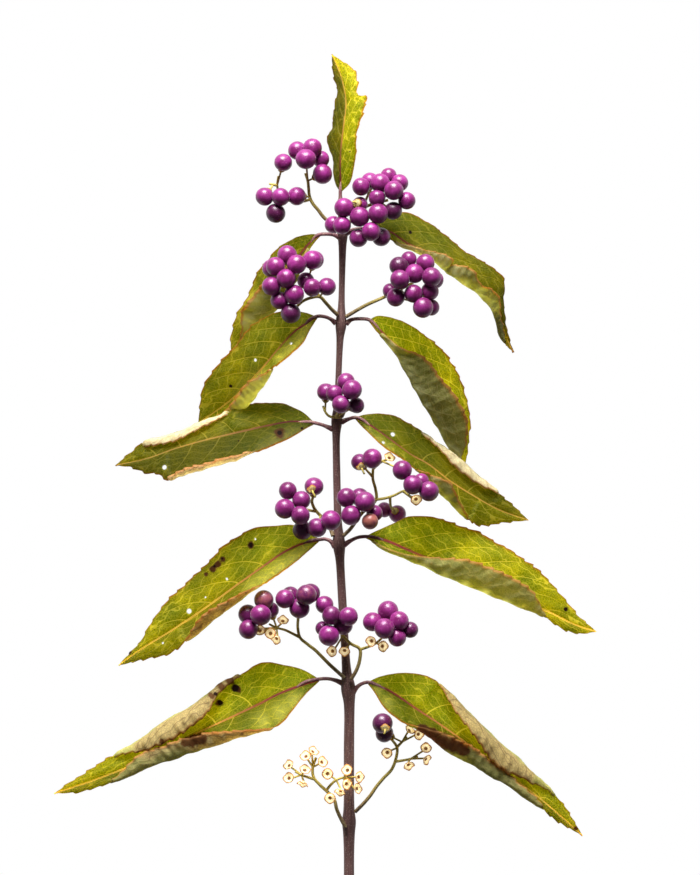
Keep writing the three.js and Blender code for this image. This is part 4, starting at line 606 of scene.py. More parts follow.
# Twigs start with the main one. A bunch is a height and its berries as x, y, radius and depth, where a
# berry of depth 1 lies one layer nearer the viewer than one of depth 0. Bare ones are the mouths of open
# calyces without a berry. The tone, from 0 to 1, is how dark the berries of a cyme are.
CYMES = {
    "a": {
        "twigs": [
            [
                [2.3, 50, 11.4], [0.3, 50.9, 11.6], [-1.2, 52.7, 12], [-2.9, 55, 12.4],
                [-3.4, 58.6, 12.6], [-3.9, 60.2, 12.4],
            ],
            [
                [-2.9, 55, 12.9], [-5.2, 54.6, 10.9], [-8.6, 55.4, 10.6], [-9.5, 57.8, 11.6],
                [-9.3, 59.6, 12.6],
            ],
            [[-9.5, 57.8, 11.6], [-11.1, 58.1, 12]],
        ],
        "bunches": [
            (
                14.4,
                [
                    [-5.5, 64.7, 1.8, -1], [-0.8, 63, 1.65, -1], [-2.5, 65.2, 1.85, 0],
                    [-3.8, 62.9, 2, 1], [-0.5, 60, 1.95, 1],
                ],
            ),
            (
                13.6,
                [
                    [-12, 55.5, 1.8, 0], [-8.8, 55.4, 1.75, 1], [-5.6, 55.6, 1.8, 0],
                    [-9.8, 52.2, 1.9, 0],
                ],
            ),
            (14, [[-8.3, 62.3, 1.75, 0]]),
        ],
    },
    "b": {
        "twigs": [
            [
                [4.2, 49.6, 12.2], [5.6, 51.2, 12.6], [7.6, 53.2, 13], [10, 54.2, 13.2],
                [12.6, 54.8, 13.6],
            ],
            [[7.6, 53.2, 13], [8.4, 55.4, 13.2], [9.2, 56.6, 13.4]],
        ],
        "bunches": [
            (
                16.8,
                [
                    [7.2, 57.4, 1.75, 1], [9, 58.6, 1.7, -1], [11, 58.1, 1.9, 0], [12.7, 59.6, 1.6, -2],
                    [14.9, 58.2, 1.7, -1], [13.7, 56.6, 1.9, 1], [16.3, 54.6, 1.7, 0],
                    [10.4, 55.1, 1.65, 0], [7, 53.9, 1.5, -2], [13.6, 52.6, 1.75, -1],
                    [10.6, 52, 1.95, 1], [6.9, 51.4, 1.95, 1], [3.8, 53.2, 1.9, 0],
                    [1.7, 49.9, 1.7, -2], [3.4, 49.7, 1.75, 0], [6.7, 47.2, 1.8, 0],
                    [9.2, 48.4, 1.85, 1], [11.2, 47.4, 1.8, -1],
                ],
            ),
        ],
    },
    "c": {
        "twigs": [
            [
                [2.5, 32, 11.6], [0.6, 33.8, 12.6], [-0.9, 35.5, 13.2], [-4, 34.9, 13.2],
                [-5.7, 33.5, 13.2],
            ],
            [[-0.9, 35.5, 13.2], [-3.2, 38, 13.4], [-5, 39.8, 13.4]],
        ],
        "bunches": [
            (
                16.4,
                [
                    [-7.5, 43.8, 1.9, 0], [-9.8, 41.5, 1.85, 1], [-10.7, 41.2, 1.75, -2],
                    [-5.6, 41.9, 1.9, 1], [-2.5, 42.8, 1.85, 0], [-2.1, 42.9, 1.85, -2],
                    [-7.7, 39.1, 1.9, 1], [-3.8, 38.7, 1.65, -1], [-2.5, 37.3, 1.75, 1],
                    [0.4, 37.5, 1.75, 0], [-10.6, 37.6, 1.85, 0], [-6.1, 35.9, 1.95, 1],
                    [-9, 34.8, 1.75, 0], [-6.8, 32.2, 1.95, 0],
                ],
            ),
        ],
    },
    "d": {
        "tone": 0.15,
        "twigs": [
            [
                [4.2, 31.6, 11.4], [8, 33.8, 12.4], [11.6, 35.4, 12.9], [15, 37, 13.2],
                [17.6, 38.4, 13.2],
            ],
            [[15, 37, 13.2], [17.6, 34.6, 13.2], [19.4, 34.6, 13.4]],
        ],
        "bunches": [
            (
                16.6,
                [
                    [16.7, 43, 1.55, -1], [14.7, 41.6, 1.85, 0], [20, 42.2, 1.8, 0],
                    [17.8, 40.1, 1.9, 0], [14.9, 38.9, 1.9, 1], [21.2, 39.4, 1.9, 1],
                    [21.9, 38.9, 1.7, -2], [13, 36.7, 1.5, -2], [14.1, 35.4, 1.8, 0],
                    [17.6, 36.1, 1.8, 0], [20.9, 36.6, 1.75, 0], [19.5, 33.3, 2, 1],
                    [21.2, 33.4, 1.6, -1],
                ],
            ),
        ],
    },
    "e": {
        "tone": 0.15,
        "twigs": [
            [[3.3, 11.6, 11], [3.8, 12.6, 11.4], [3.9, 15, 11.6]],
            [[3.3, 11.6, 11], [1.2, 11.6, 11], [0.2, 12.4, 11.4], [-0.4, 13.8, 11.8]],
        ],
        "bunches": [
            (
                14,
                [
                    [0.2, 16.6, 1.75, -1], [1.9, 16.3, 1.65, 0], [4.2, 18.6, 1.75, 0],
                    [5.4, 17, 1.95, 1], [3.2, 14.1, 1.75, 1], [6.3, 13.9, 1.55, 0],
                ],
            ),
        ],
    },
    "f": {
        "tone": 0.15,
        "twigs": [
            [
                [1.6, -12.2, 8.8], [0.4, -9.4, 8], [-1.7, -7.3, 8.4], [-2.6, -5.5, 8.8],
                [-2.1, -3.8, 9.2],
            ],
            [[-1.7, -7.3, 8.4], [-4.6, -6.6, 8], [-6.4, -5, 8.2]],
        ],
        "bunches": [
            (11.2, [[-2.2, -2.3, 1.85, -1]]),
            (
                12.2,
                [
                    [-7.4, -3.1, 1.75, 0], [-4.7, -5, 1.8, 1], [-8, -6.7, 1.95, 0], [-4.9, -8, 1.85, 1],
                    [-4.5, -11, 1.9, -1], [-1.6, -10.5, 1.9, 0], [1.2, -9, 1.95, 1],
                ],
            ),
        ],
    },
    "g": {
        "tone": 0.15,
        "twigs": [
            [
                [3.6, -12.2, 9.2], [5.4, -10.4, 9.2], [7.2, -7.8, 9.4], [10.2, -4.9, 9.8],
                [9.5, -0.3, 10.2], [9.6, 1.2, 10.4],
            ],
            [[9.5, -0.3, 10.2], [8.2, 1.1, 10.2]],
            [[10.2, -4.9, 9.8], [13, -4.4, 10], [15.6, -3.2, 10.2], [17.4, -2.8, 10]],
            [[13, -4.4, 10], [13.1, -6, 8.6], [13.4, -6.8, 7.4]],
            [[15.6, -3.2, 10.2], [17.6, -4.8, 10.8]],
            [[9.6, 1.2, 10.4], [11.2, 2.6, 11.2], [12.6, 3.2, 11.8]],
        ],
        "bunches": [
            (
                12.4,
                [
                    [6.9, -4.4, 1.8, -1], [9.9, -7.6, 1.6, -1], [4.3, -4.5, 1.9, 1], [8, -5.3, 2, 1],
                    [5.2, -8, 1.95, 1], [9, -9.2, 1.6, 1],
                ],
            ),
            (12.6, [[6.9, 2.6, 1.65, -1], [9.4, 3.3, 1.95, 1]]),
            (
                16,
                [
                    [19.2, -1.15, 1.5, -1], [15.4, 1, 1.9, 0], [20.7, -3.2, 1.95, 0],
                    [17.5, -1.9, 1.9, 1],
                ],
            ),
            (4.6, [[11.9, -7, 1.5, -1], [14.5, -7.8, 1.7, 0]]),
        ],
        "bare": [[18.2, -4.9, 12.6], [12.9, 3.6, 12.6]],
    },
    "h": {
        "tone": 0.15,
        "twigs": [
            [
                [3.9, -40.6, 7.2], [1, -38, 7.4], [-2, -35, 7.6], [-5, -32.5, 7.8], [-5.4, -31, 7.9],
                [-5.4, -28.6, 8],
            ],
            [[-5, -32.5, 7.8], [-8, -31, 8], [-9.8, -30.5, 8.2], [-11.2, -29.8, 8.2]],
        ],
        "bunches": [
            (
                11,
                [
                    [-15.4, -27.8, 1.9, -1], [-10.9, -27, 1.65, -1], [-12.2, -24.9, 1.9, 0],
                    [-12.8, -27.9, 2.05, 1], [-15.3, -30.8, 1.9, 0],
                ],
            ),
            (
                11,
                [
                    [-6.9, -24, 1.7, -1], [-2.9, -23.6, 1.9, -1], [-8, -24.7, 1.85, 0],
                    [-5.1, -26.6, 2, 0], [-3.7, -23.9, 2, 1],
                ],
            ),
        ],
        "bare": [[-13, -31, 10.6], [-10.9, -31.6, 10.2], [-9.8, -32.8, 9.8], [-8.4, -29, 9.6]],
    },
    "i": {
        "twigs": [
            [[5.2, -40.9, 7.6], [6.5, -38.5, 8], [7, -34.9, 8.2], [5, -33.6, 8.6], [2.2, -30.4, 8.9]],
            [[7, -34.9, 8.2], [9, -34.2, 8.3], [10.8, -33.2, 8.3], [12.6, -31, 8.2]],
        ],
        "bunches": [
            (
                11.2,
                [
                    [-0.1, -25.9, 1.75, -1], [-0.5, -30.6, 1.4, -1], [3.6, -30, 1.9, 0],
                    [1.3, -28, 1.85, 1], [4.7, -28.2, 1.85, 1], [0.8, -32, 2.05, 1],
                ],
            ),
            (
                11.2,
                [
                    [17, -30.9, 1.6, -1], [12.6, -27.2, 2.05, -1], [14.4, -32.4, 1.8, -1],
                    [9.5, -29.3, 1.9, -1], [14.8, -29.1, 1.9, 0], [11.9, -30.6, 2, 1],
                ],
            ),
        ],
        "bare": [[1.4, -35.2, 10], [3.9, -35.2, 10.2], [9.2, -33.2, 10.6], [11.6, -34.2, 10.4]],
    },
    "j": {
        "twigs": [
            [
                [4.1, -70.6, 4], [2.5, -67.5, 4.8], [1.8, -65, 5.2], [-2, -61, 5.6], [-2.6, -59.5, 5.8],
                [-1.8, -56.6, 6],
            ],
            [[0.2, -63.3, 5.2], [1.4, -61.8, 6], [3.3, -60.6, 6.4], [5.2, -61.2, 6.8]],
            [[-2, -61, 5.6], [-4.4, -60.2, 6], [-6, -59.4, 6.2]],
        ],
        "bare": [
            [-7.3, -60.6, 7.2], [-4.5, -61.9, 6.9], [-4, -58.9, 7.4], [-7.3, -58, 7], [-3.9, -56.2, 7],
            [-0.5, -57.4, 7.4], [-2.3, -55.2, 7], [0.5, -59.8, 7.2], [1, -64.7, 6.8], [3, -63.5, 7.2],
            [4.4, -61.8, 8], [4.4, -59, 7.8], [6.9, -60.4, 7.8], [6.6, -62.7, 7.8],
        ],
    },
    "k": {
        "twigs": [
            [
                [6, -67.6, 3.8], [8.5, -65, 4.4], [11, -61.5, 5.2], [13.5, -58.7, 5.8],
                [14.4, -54.5, 6.2], [13.2, -52.8, 5.8],
            ],
            [[14.4, -54.5, 6.2], [16.4, -52.4, 6.8]],
            [[14, -57.4, 6], [16.5, -57, 6.2], [18.6, -56.4, 6.6]],
        ],
        "bunches": [
            (8.4, [[11.9, -51.7, 1.8, -1], [11.5, -49.6, 2, 1]]),
        ],
        "bare": [
            [16.8, -58.2, 7.2], [20.4, -57, 7], [20.2, -54.6, 7.6], [17, -50.9, 7.8],
            [18.8, -51.9, 7.4], [12.4, -55.6, 7.8],
        ],
    },
}

# Berries that differ from the rest: x, y, how dark the skin has turned, how much of it is a tan bruise
AGED_BERRIES = [
    (-9.9, 51.9, 0.8, 0.0), (13.6, 52.5, 0.75, 0.0), (11.2, 47.3, 0.55, 0.2), (-6.8, 31.7, 0.7, 0.0),
    (-2.5, 37.3, 0.3, 0.35), (14.7, 41.6, 0.8, 0.1), (6.5, 13.7, 0.7, 0.0), (-4.5, -11.4, 0.75, 0.0),
    (9, -9.2, 0.6, 0.85), (-12.2, -24.8, 0.3, 0.65), (-3.6, -23.7, 0.6, 0.45), (1.2, -27.7, 0.5, 0.3),
    (17.2, -30.9, 0.65, 0.1), (11.5, -49.4, 0.75, 0.2), (11.9, -51.7, 0.8, 0.45),
]

# Calyces that face the viewer from the front of a berry: x, y, and the way its short stalk leans
FRONT_CALYCES = [
    (6.4, 54.1, -0.3, 0.1), (-2.6, -2.8, 0.5, -0.8), (7.2, 1.7, 0.3, -0.6), (12.0, -50.5, -0.2, -0.4),
]

# Fresh leaf tissue, grown: the upper side is yellow green and slightly glossy, and lights up from below
UPPER_LOOK = {
    "dark": "#667200",
    "light": "#A29A00",
    "deep": "#587600",
    "fleck": "#3E5000",
    # pale marks: paler thin tissue in places, and a painted sheen of light along folds and rolls
    "pale": "#A4A064",
    "pale_share": 0.65,
    "vein": "#C8BE58",
    "rib_base": "#A05A60",
    "rib_tip": "#DAC470",
    "vein_strength": 0.85,
    "rung": 0.52,
    "mesh": 0.32,
    "net_height": -1.0,
    "roughness": 0.55,
    "shade": 0.55,
    "glow": 2.1,
    "through": 0.74,
}

# The underside is paler and greyer, matt, with its veins raised
UNDER_LOOK = {
    "dark": "#76743A",
    "light": "#9A985C",
    "deep": "#84884A",
    "fleck": "#6A6A34",
    # pale marks: paler thin tissue in places, and a painted sheen of light along folds and rolls
    "pale": "#C4C69C",
    "pale_share": 0.8,
    "vein": "#B4A874",
    "rib_base": "#8C5C54",
    "rib_tip": "#B09A60",
    "vein_strength": 0.5,
    "rung": 0.35,
    "mesh": 0.25,
    "net_height": 1.0,
    "roughness": 0.7,
    "shade": 1.25,
    "glow": 1.8,
    "through": 0.5,
}


def smooth_line(points, count):
    """Points on a centripetal Catmull-Rom curve through the given ones, at even steps of its parameter.

    Each stretch between two given points is a cubic whose end slopes come from the neighbours, weighted
    by the square roots of the distances. A fourth column, such as a radius, is carried along.
    """
    given = np.asarray(points, float)
    given = np.vstack([2 * given[0] - given[1], given, 2 * given[-1] - given[-2]])
    place = np.linspace(0, len(points) - 1, count)
    first = np.minimum(place.astype(int), len(points) - 2)
    t = (place - first)[:, None]
    a, b, c, d = (given[first + i] for i in range(4))
    before, here, after = (
        np.sqrt(np.linalg.norm((q - p)[:, :3], axis=1))[:, None] for p, q in ((a, b), (b, c), (c, d))
    )
    start = ((b - a) / before - (c - a) / (before + here) + (c - b) / here) * here
    end = ((c - b) / here - (d - b) / (here + after) + (d - c) / after) * here
    square, cube = t**2, t**3
    return (
        b * (2 * cube - 3 * square + 1)
        + start * (cube - 2 * square + t)
        + c * (3 * square - 2 * cube)
        + end * (cube - square)
    )


def even_line(points, count):
    """The same curve with its points at even distances along it."""
    fine = smooth_line(points, FINE * len(points))
    steps = np.linalg.norm(np.diff(fine[:, :3], axis=0), axis=1)
    length = np.concatenate([[0], np.cumsum(steps)])
    wanted = np.linspace(0, length[-1], count)
    return np.stack([np.interp(wanted, length, column) for column in fine.T], axis=1)


def length_along(line):
    """Distance from the first point to each point of a line, in millimetres."""
    steps = np.linalg.norm(np.diff(line, axis=0), axis=-1)
    return np.concatenate([np.zeros_like(steps[:1]), np.cumsum(steps, axis=0)])


def smoothstep(value, low, high):
    """A share that goes smoothly from 0 to 1 while the value goes from low to high."""
    share = np.clip((value - low) / (high - low), 0, 1)
    return share * share * (3 - 2 * share)


def bell(value, width):
    """1 where the value is 0, falling off on both sides with the square of the value over the width."""
    return np.exp(-((value / width) ** 2))


def blend(a, b, share):
    """What lies at a share of the way from a to b."""
    return a + (b - a) * share


def unit(vectors):
    """Vectors of length 1 in the same directions."""
    return vectors / np.maximum(np.linalg.norm(vectors, axis=-1, keepdims=True), 1e-9)


def parabola(start, pull, end, t):
    """A parabola from start to end that leaves and arrives in the directions of the point pull."""
    return start * (1 - t) ** 2 + pull * 2 * t * (1 - t) + end * t**2


def ripple(points, size, seed):
    """A smooth uneven value from -1 to 1 that changes over about size: the mean of eight plane waves."""
    chance = np.random.default_rng(seed)
    waves, gain = 8, 1.6
    directions = unit(chance.normal(size=(waves, 3))) * chance.uniform(0.7, 1.6, (waves, 1))
    phases = chance.uniform(0, 2 * np.pi, waves)
    return np.sin(points @ directions.T * (2 * np.pi / size) + phases).mean(axis=-1) * gain


def full_turn(sides, start=0):
    """Even angles round a full turn."""
    return np.linspace(0, 2 * np.pi, sides, endpoint=False) + start


def wrapped_faces(rows, columns):
    """Faces of a grid whose last column joins its first, in rows along it, and of its two end rows."""
    row, column = np.meshgrid(np.arange(rows - 1), np.arange(columns), indexing="ij")
    after = (column + 1) % columns
    corners = [row * columns + column, row * columns + after]
    corners += [corners[1] + columns, corners[0] + columns]
    sides = np.stack(corners, axis=-1).reshape(-1, 4)
    return sides, [np.arange(columns)[::-1], (rows - 1) * columns + np.arange(columns)]


def facing_out(points, faces):
    """The faces of a closed form, all turned the other way if they enclose a negative volume."""
    a, b, c, d = (points[faces[:, i]] for i in range(4))
    volume = (a * (np.cross(b, c) + np.cross(c, d))).sum()
    return faces if volume > 0 else faces[:, ::-1]


def part(points, faces, ends, material=0, uv=None, **values):
    """One closed form of a piece: its points, its four-sided faces and its many-sided end faces.

    material is one number or one for each four-sided face, uv one pair for each point, and each further
    value one number for each point or one for them all.
    """
    turned = facing_out(points, faces)
    if turned is not faces:
        ends = [end[::-1] for end in ends]
    materials = np.broadcast_to(material, len(faces))
    end_materials = np.full(len(ends), materials[-1])
    return {
        "points": points,
        "faces": turned.tolist() + [list(map(int, end)) for end in ends],
        "materials": np.concatenate([materials, end_materials]),
        "uv": np.zeros((len(points), 2)) if uv is None else uv,
        "values": {name: np.broadcast_to(value, len(points)) for name, value in values.items()},
    }


def tube(line, radius, sides, material=0, **values):
    """A closed tube: a circle of points carried along a line, with one radius or one for each point.

    The side of the circle stays square to the direction of the line.
    """
    line = np.asarray(line, float)
    ahead = unit(np.gradient(line, axis=0))
    is_upright = abs(unit(line[-1] - line[0])[2]) >= ALONG_AXIS
    side = unit(np.cross(ahead, (1, 0, 0) if is_upright else (0, 0, 1)))
    upper = np.cross(side, ahead)
    radius = np.broadcast_to(radius, len(line))[:, None, None]
    turn = full_turn(sides)[None, :, None]
    ring = np.cos(turn) * side[:, None] + np.sin(turn) * upper[:, None]
    points = (line[:, None] + radius * ring).reshape(-1, 3)
    faces, ends = wrapped_faces(len(line), sides)
    length = np.repeat(length_along(line), sides)
    around = np.tile(np.linspace(0, 1, sides, endpoint=False), len(line))
    spread = {
        name: np.repeat(value, sides) if np.ndim(value) else value for name, value in values.items()
    }
    return part(points, faces, ends, material, np.stack([around, length], axis=1), **spread)


def piece(name, parts, materials, nodes):
    """Makes one Blender object of closed forms, rides it on the branch and has it replace its nodes."""
    starts = np.cumsum([0] + [len(p["points"]) for p in parts])
    points = np.concatenate([p["points"] for p in parts])
    points[:, 2] = np.maximum(points[:, 2], TABLE_GAP)
    faces = [[i + start for i in face] for p, start in zip(parts, starts) for face in p["faces"]]
    mesh = bpy.data.meshes.new(name)
    mesh.from_pydata(points * METRES, [], faces)
    for material in materials:
        mesh.materials.append(material)
    mesh.polygons.foreach_set("material_index", np.concatenate([p["materials"] for p in parts]))
    mesh.polygons.foreach_set("use_smooth", np.ones(len(faces), bool))
    corner_points = np.empty(len(mesh.loops), np.int32)
    mesh.loops.foreach_get("vertex_index", corner_points)
    uv = np.concatenate([p["uv"] for p in parts])[corner_points]
    mesh.uv_layers.new(name="surface").data.foreach_set("uv", uv.astype(np.float32).ravel())
    for value in sorted({key for p in parts for key in p["values"]}):
        column = [p["values"].get(value, np.zeros(len(p["points"]))) for p in parts]
        stored_values = mesh.attributes.new(value, "FLOAT", "POINT")
        stored_values.data.foreach_set("value", np.concatenate(column).astype(np.float32))
    mesh.update()
    made = bpy.data.objects.new(name, mesh)
    bpy.context.scene.collection.objects.link(made)
    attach(made, "root")
    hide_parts(*nodes)


def rail(between, base, tip, reach):
    """A rail of a blade at each reach, which is the share of the straight way from base to tip."""
    chord = tip - base
    samples = smooth_line([base, *between, tip], RAIL_SAMPLES)
    along = np.maximum.accumulate((samples - base) @ chord / (chord @ chord))
    return np.stack([np.interp(reach, along, column) for column in samples.T], axis=1)


def half_blade(rib, shoulder, margin, reach, share):
    """Points of half a blade on its upper side, stations by places across, and where it is rolled over.

    Two parabolas meet on the shoulder. Where the margin rolls over, the first comes up to the shoulder
    with an upright end, and the second leaves it upright and turns back in to the margin. Where it
    doesn't, the two are parts of one parabola from rib to edge that swells by the camber. The blade is
    rolled only where the margin lies nearer the rib than the shoulder does, and the edge of the flat
    blade is whichever of the two lies further out.
    """
    is_flat = shoulder is None
    if is_flat:
        shoulder = blend(rib, margin, FLAT_SHOULDER)
    to_shoulder = np.linalg.norm(shoulder - rib, axis=1)
    to_margin = np.linalg.norm(margin - shoulder, axis=1)
    knee = np.clip(to_shoulder / np.maximum(to_shoulder + to_margin, 1e-6), *SHOULDER_RANGE)
    outward = unit((shoulder - rib) * (1, 1, 0))
    inside = smoothstep(((shoulder - margin) * outward).sum(axis=1), *ROLL_INSIDE)
    curled = 0 if is_flat else smoothstep(to_margin, *ROLL_STARTS) * (1 - smoothstep(reach, *ROLL_ENDS))
    rolled = (curled * inside)[:, None]
    edge = blend(blend(margin, shoulder, inside[:, None]), margin, rolled)
    swell = (rib + edge) / 2 + UP * (2 * CAMBER * np.sin(np.pi * reach))[:, None]
    at_knee = knee[:, None]
    rise = np.maximum(margin[:, 2] - shoulder[:, 2], ROLL_RISE)[:, None] * UP
    first_pull = blend(blend(rib, swell, at_knee), shoulder - ROLL_FALL * rise, rolled)
    middle = blend(parabola(rib, swell, edge, at_knee), shoulder, rolled)
    second_pull = blend(blend(swell, edge, at_knee), shoulder + rise, rolled)
    t = share[None, :, None]
    knee = knee[:, None, None]
    first = parabola(rib[:, None], first_pull[:, None], middle[:, None], np.minimum(t / knee, 1))
    late = np.clip((t - knee) / (1 - knee), 0, 1)
    second = parabola(middle[:, None], second_pull[:, None], edge[:, None], late)
    return np.where(t < knee, first, second), smoothstep(late[..., 0], *ROLL_SHOWS) * rolled


def with_teeth(half, reach, share, seed):
    """A half blade whose margin runs out into saw teeth that point forward, and waves a little.

    A tooth rises with the distance along the margin and falls off quickly after its peak.
    """
    chance = np.random.default_rng(seed)
    margin = half[:, -1]
    length = length_along(margin)
    drift, drift_length = TOOTH_DRIFT
    phase = length / TOOTH_SPACING + drift * np.sin(length / drift_length + seed)
    number = np.floor(phase).astype(int)
    done = phase - number
    heights = chance.uniform(*TOOTH_SIZES, number.max() + 2)[np.maximum(number, 0)]
    rising = (done / TOOTH_PEAK) ** TOOTH_HOLLOW
    saw = np.where(done < TOOTH_PEAK, rising, (1 - done) / (1 - TOOTH_PEAK))
    toothed = smoothstep(reach, *TEETH_BEGIN) * (1 - smoothstep(reach, *TEETH_END))
    out = unit(margin - half[:, -4])
    ahead = unit(np.gradient(margin, axis=0))
    push = (TOOTH * heights * saw * toothed)[:, None] * (out + TOOTH_LEAN * ahead)
    waves = sum(height * np.sin(length / size + shift * seed) for height, size, shift in MARGIN_WAVES)
    push = push + np.sin(np.pi * reach)[:, None] * (waves[:, None] * out)
    return half + push[:, None] * smoothstep(share, *MARGIN_BAND)[None, :, None]


def upper_side(shape, rib, base, tip, reach, share, seed):
    """The smooth upper side of a blade from the far margin to the near one, and where it is rolled."""
    halves, rolls = [], []
    for side in ("far", "near"):
        given = shape.get(f"{side}_shoulder")
        shoulder = None if given is None else rail(given, base, tip, reach)
        margin = rail(shape[f"{side}_margin"], base, tip, reach)
        half, past = half_blade(rib, shoulder, margin, reach, share)
        halves.append(with_teeth(half, reach, share, seed + len(halves)))
        rolls.append(past)
    return [np.concatenate([far[:, ::-1], near[:, 1:]], axis=1) for far, near in (halves, rolls)]


def relief(upper, across, reach, from_rib, past, seed):
    """How far each point of a blade stands out from its smooth surface.

    The blade is swollen between its side veins by a power of the sine of the vein wave, sunk along the
    midrib by a bell of the distance from it, and crinkled by two ripples.
    """
    t = np.abs(across)[None, :]
    wave = (reach[:, None] - VEIN_SWEEP * t**VEIN_CURVE) * LATERALS + VEIN_OFFSET * (across > 0)
    quilt = np.abs(np.sin(np.pi * wave)) ** QUILT_POWER * np.sin(np.pi * t**QUILT_POWER)
    fade = np.sin(np.pi * reach)[:, None] ** 0.5
    (size, height), (fine_size, fine_height) = CRINKLE, FINE_CRINKLE
    fine = ripple(upper, fine_size, seed + 5) * fine_height * (1 + past)
    crinkle = ripple(upper, size, seed) * height + fine
    return fade * (QUILTING * quilt - GROOVE_DEPTH * bell(from_rib, GROOVE_WIDTH)) + crinkle * fade * t


def and_back(value):
    """A value of the upper side of a blade, over the upper side and back along the underside."""
    return np.concatenate([value, value[:, ::-1]], axis=1)


def shell(upper, normals):
    """A blade as one closed skin: over the upper side, round the margin and back along the underside."""
    under = upper - normals * BLADE
    low = TABLE_GAP + BLADE
    upper = np.concatenate([upper[..., :2], np.maximum(upper[..., 2:], low)], axis=-1)
    under = np.concatenate([under[..., :2], np.maximum(under[..., 2:], TABLE_GAP)], axis=-1)
    return np.concatenate([upper, under[:, ::-1]], axis=1)


def marked(points, places):
    """How far each point is inside round marks given as x, y, radius: 1 in the middle, 0 far outside.

    A mark fades with the square of the distance, and marks that overlap run into one another.
    """
    clear = np.ones(points.shape[:-1])
    for x, y, radius in places:
        clear = clear * (1 - bell(np.hypot(points[..., 0] - x, points[..., 1] - y), radius))
    return 1 - clear


def blade_part(shape, seed):
    """The blade of one leaf as a closed skin, and the line its midrib follows under it.

    Each point keeps its reach, its place across, its distance from the midrib, the painted light and
    shade of its half and how deep it is inside each kind of mark.
    """
    base, tip = np.array(shape["rib"][0], float), np.array(shape["rib"][-1], float)
    tip = tip + unit((tip - base) * (1, 1, 0)) * DRAWN_OUT
    reach = np.linspace(*REACH_RANGE, STATIONS)
    share = np.linspace(0, 1, ACROSS) ** CROWDING
    rib = rail(shape["rib"][1:-1], base, tip, reach)
    upper, past = upper_side(shape, rib, base, tip, reach, share, seed)
    across = np.concatenate([-share[::-1], share[1:]])
    normals = unit(np.cross(np.gradient(upper, axis=1), np.gradient(upper, axis=0)))
    if normals[:, ACROSS - 1, 2].mean() < 0:
        normals = -normals
    width = length_along(np.swapaxes(upper, 0, 1)).T
    from_rib = np.abs(width - width[:, ACROSS - 1 : ACROSS])
    upper = upper + normals * relief(upper, across, reach, from_rib, past, seed)[..., None]
    length = length_along(rib)
    halfway = smoothstep(across, *PAINTED_SHADING_EDGE)
    values = {
        "across": np.broadcast_to(across, past.shape),
        "reach": np.broadcast_to(reach[:, None], past.shape),
        "from_rib": from_rib,
        "vein_gap": np.full(past.shape, VEIN_SLANT * length[-1] / LATERALS),
        # painted light and shade: each half made brighter or darker for how light falls on it
        "tint": blend(*shape["tint"], halfway) * np.ones(past.shape),
    }
    for kind in ("dry", "bleached", "brown", "pale", "spot", "hole"):
        only_rolled = past if kind in ("dry", "bleached") else 1
        values[kind] = marked(upper, shape["marks"].get(kind, [])) * only_rolled
    values = {name: and_back(value).ravel() for name, value in values.items()}
    run = np.broadcast_to(length[:, None], past.shape)
    uv = and_back(np.stack([run, np.sign(across) * from_rib], axis=-1) / UV_UNIT).reshape(-1, 2)
    faces, ends = wrapped_faces(STATIONS, 2 * len(across))
    is_under = np.tile(np.arange(2 * len(across)), STATIONS - 1) >= len(across)
    skin = shell(upper, normals).reshape(-1, 3)
    spine, out = upper[MIDRIB_ROWS, ACROSS - 1], normals[MIDRIB_ROWS, ACROSS - 1]
    depth = BLADE + np.linspace(MIDRIB_SINKS * MIDRIB, MIDRIB_END, len(spine))
    return part(skin, faces, ends, is_under.astype(int), uv, **values), spine - out * depth[:, None]


def petiole_part(shape, spine):
    """The petiole, which runs on as the raised midrib under the blade and thins out to the tip."""
    line = even_line(np.vstack([np.array(shape["petiole"], float), spine]), PETIOLE_ROWS)
    along = length_along(line) / length_along(line)[-1]
    radii = [PETIOLE_FOOT, PETIOLE, PETIOLE, MIDRIB, MIDRIB_END]
    radius = np.interp(along, [0, 0.04, 0.15, 0.3, 1], radii)
    return tube(line, radius, PETIOLE_SIDES, PETIOLE_SKIN, along=along)


def place_berries(height, berries):
    """Heights of the berries of a bunch, as rows of x, y, z and radius.

    They start in the order of their depths. Two that would share space move apart, up and down, and one
    that touches nothing moves back towards its neighbour.
    """
    z = [height + LAYER * depth for _, _, _, depth in berries]
    pairs = []
    for i, (x, y, radius, depth) in enumerate(berries):
        for j in range(i + 1, len(berries)):
            low, high = (j, i) if depth > berries[j][3] else (i, j)
            apart = np.hypot(x - berries[j][0], y - berries[j][1])
            touching = radius + berries[j][2] - PRESS
            if apart < touching:
                pairs.append((low, high, np.sqrt(touching**2 - apart**2)))
    for _ in range(SETTLING_ROUNDS):
        for k in range(len(berries)):
            mine = [(z[high] - z[low] - level, low) for low, high, level in pairs if k in (low, high)]
            excess, lower = min(mine, default=(0, 0), key=lambda pair: pair[0])
            if excess > 0:
                z[k] += (1 if lower == k else -1) * excess / 2
        for low, high, level in pairs:
            short = max(z[low] + level - z[high], 0)
            z[low] -= short / 2
            z[high] += short / 2
    return [[x, y, level, radius] for (x, y, radius, _), level in zip(berries, z)]


def below_berries(line, berries):
    """The path of a twig, taken lower wherever a berry would be in its way."""
    path = even_line(line, round(TWIG_STEPS * (len(line) - 1)) + 1)
    for point in path:
        for x, y, z, radius in berries:
            room = radius * PACKED_ROUND + PACKED_TWIG + 2 * PACKED_GAP
            drop = np.sqrt(max(room**2 - (point[0] - x) ** 2 - (point[1] - y) ** 2, 0))
            if abs(point[2] - z) < drop:
                point[2] = z - drop
    return path


def nearest_on(start, end, point):
    """The place on a straight line from start to end that lies nearest to a point."""
    way = end - start
    share = np.clip((point - start) @ way / max(way @ way, 1e-9), 0, 1)
    return start + way * share


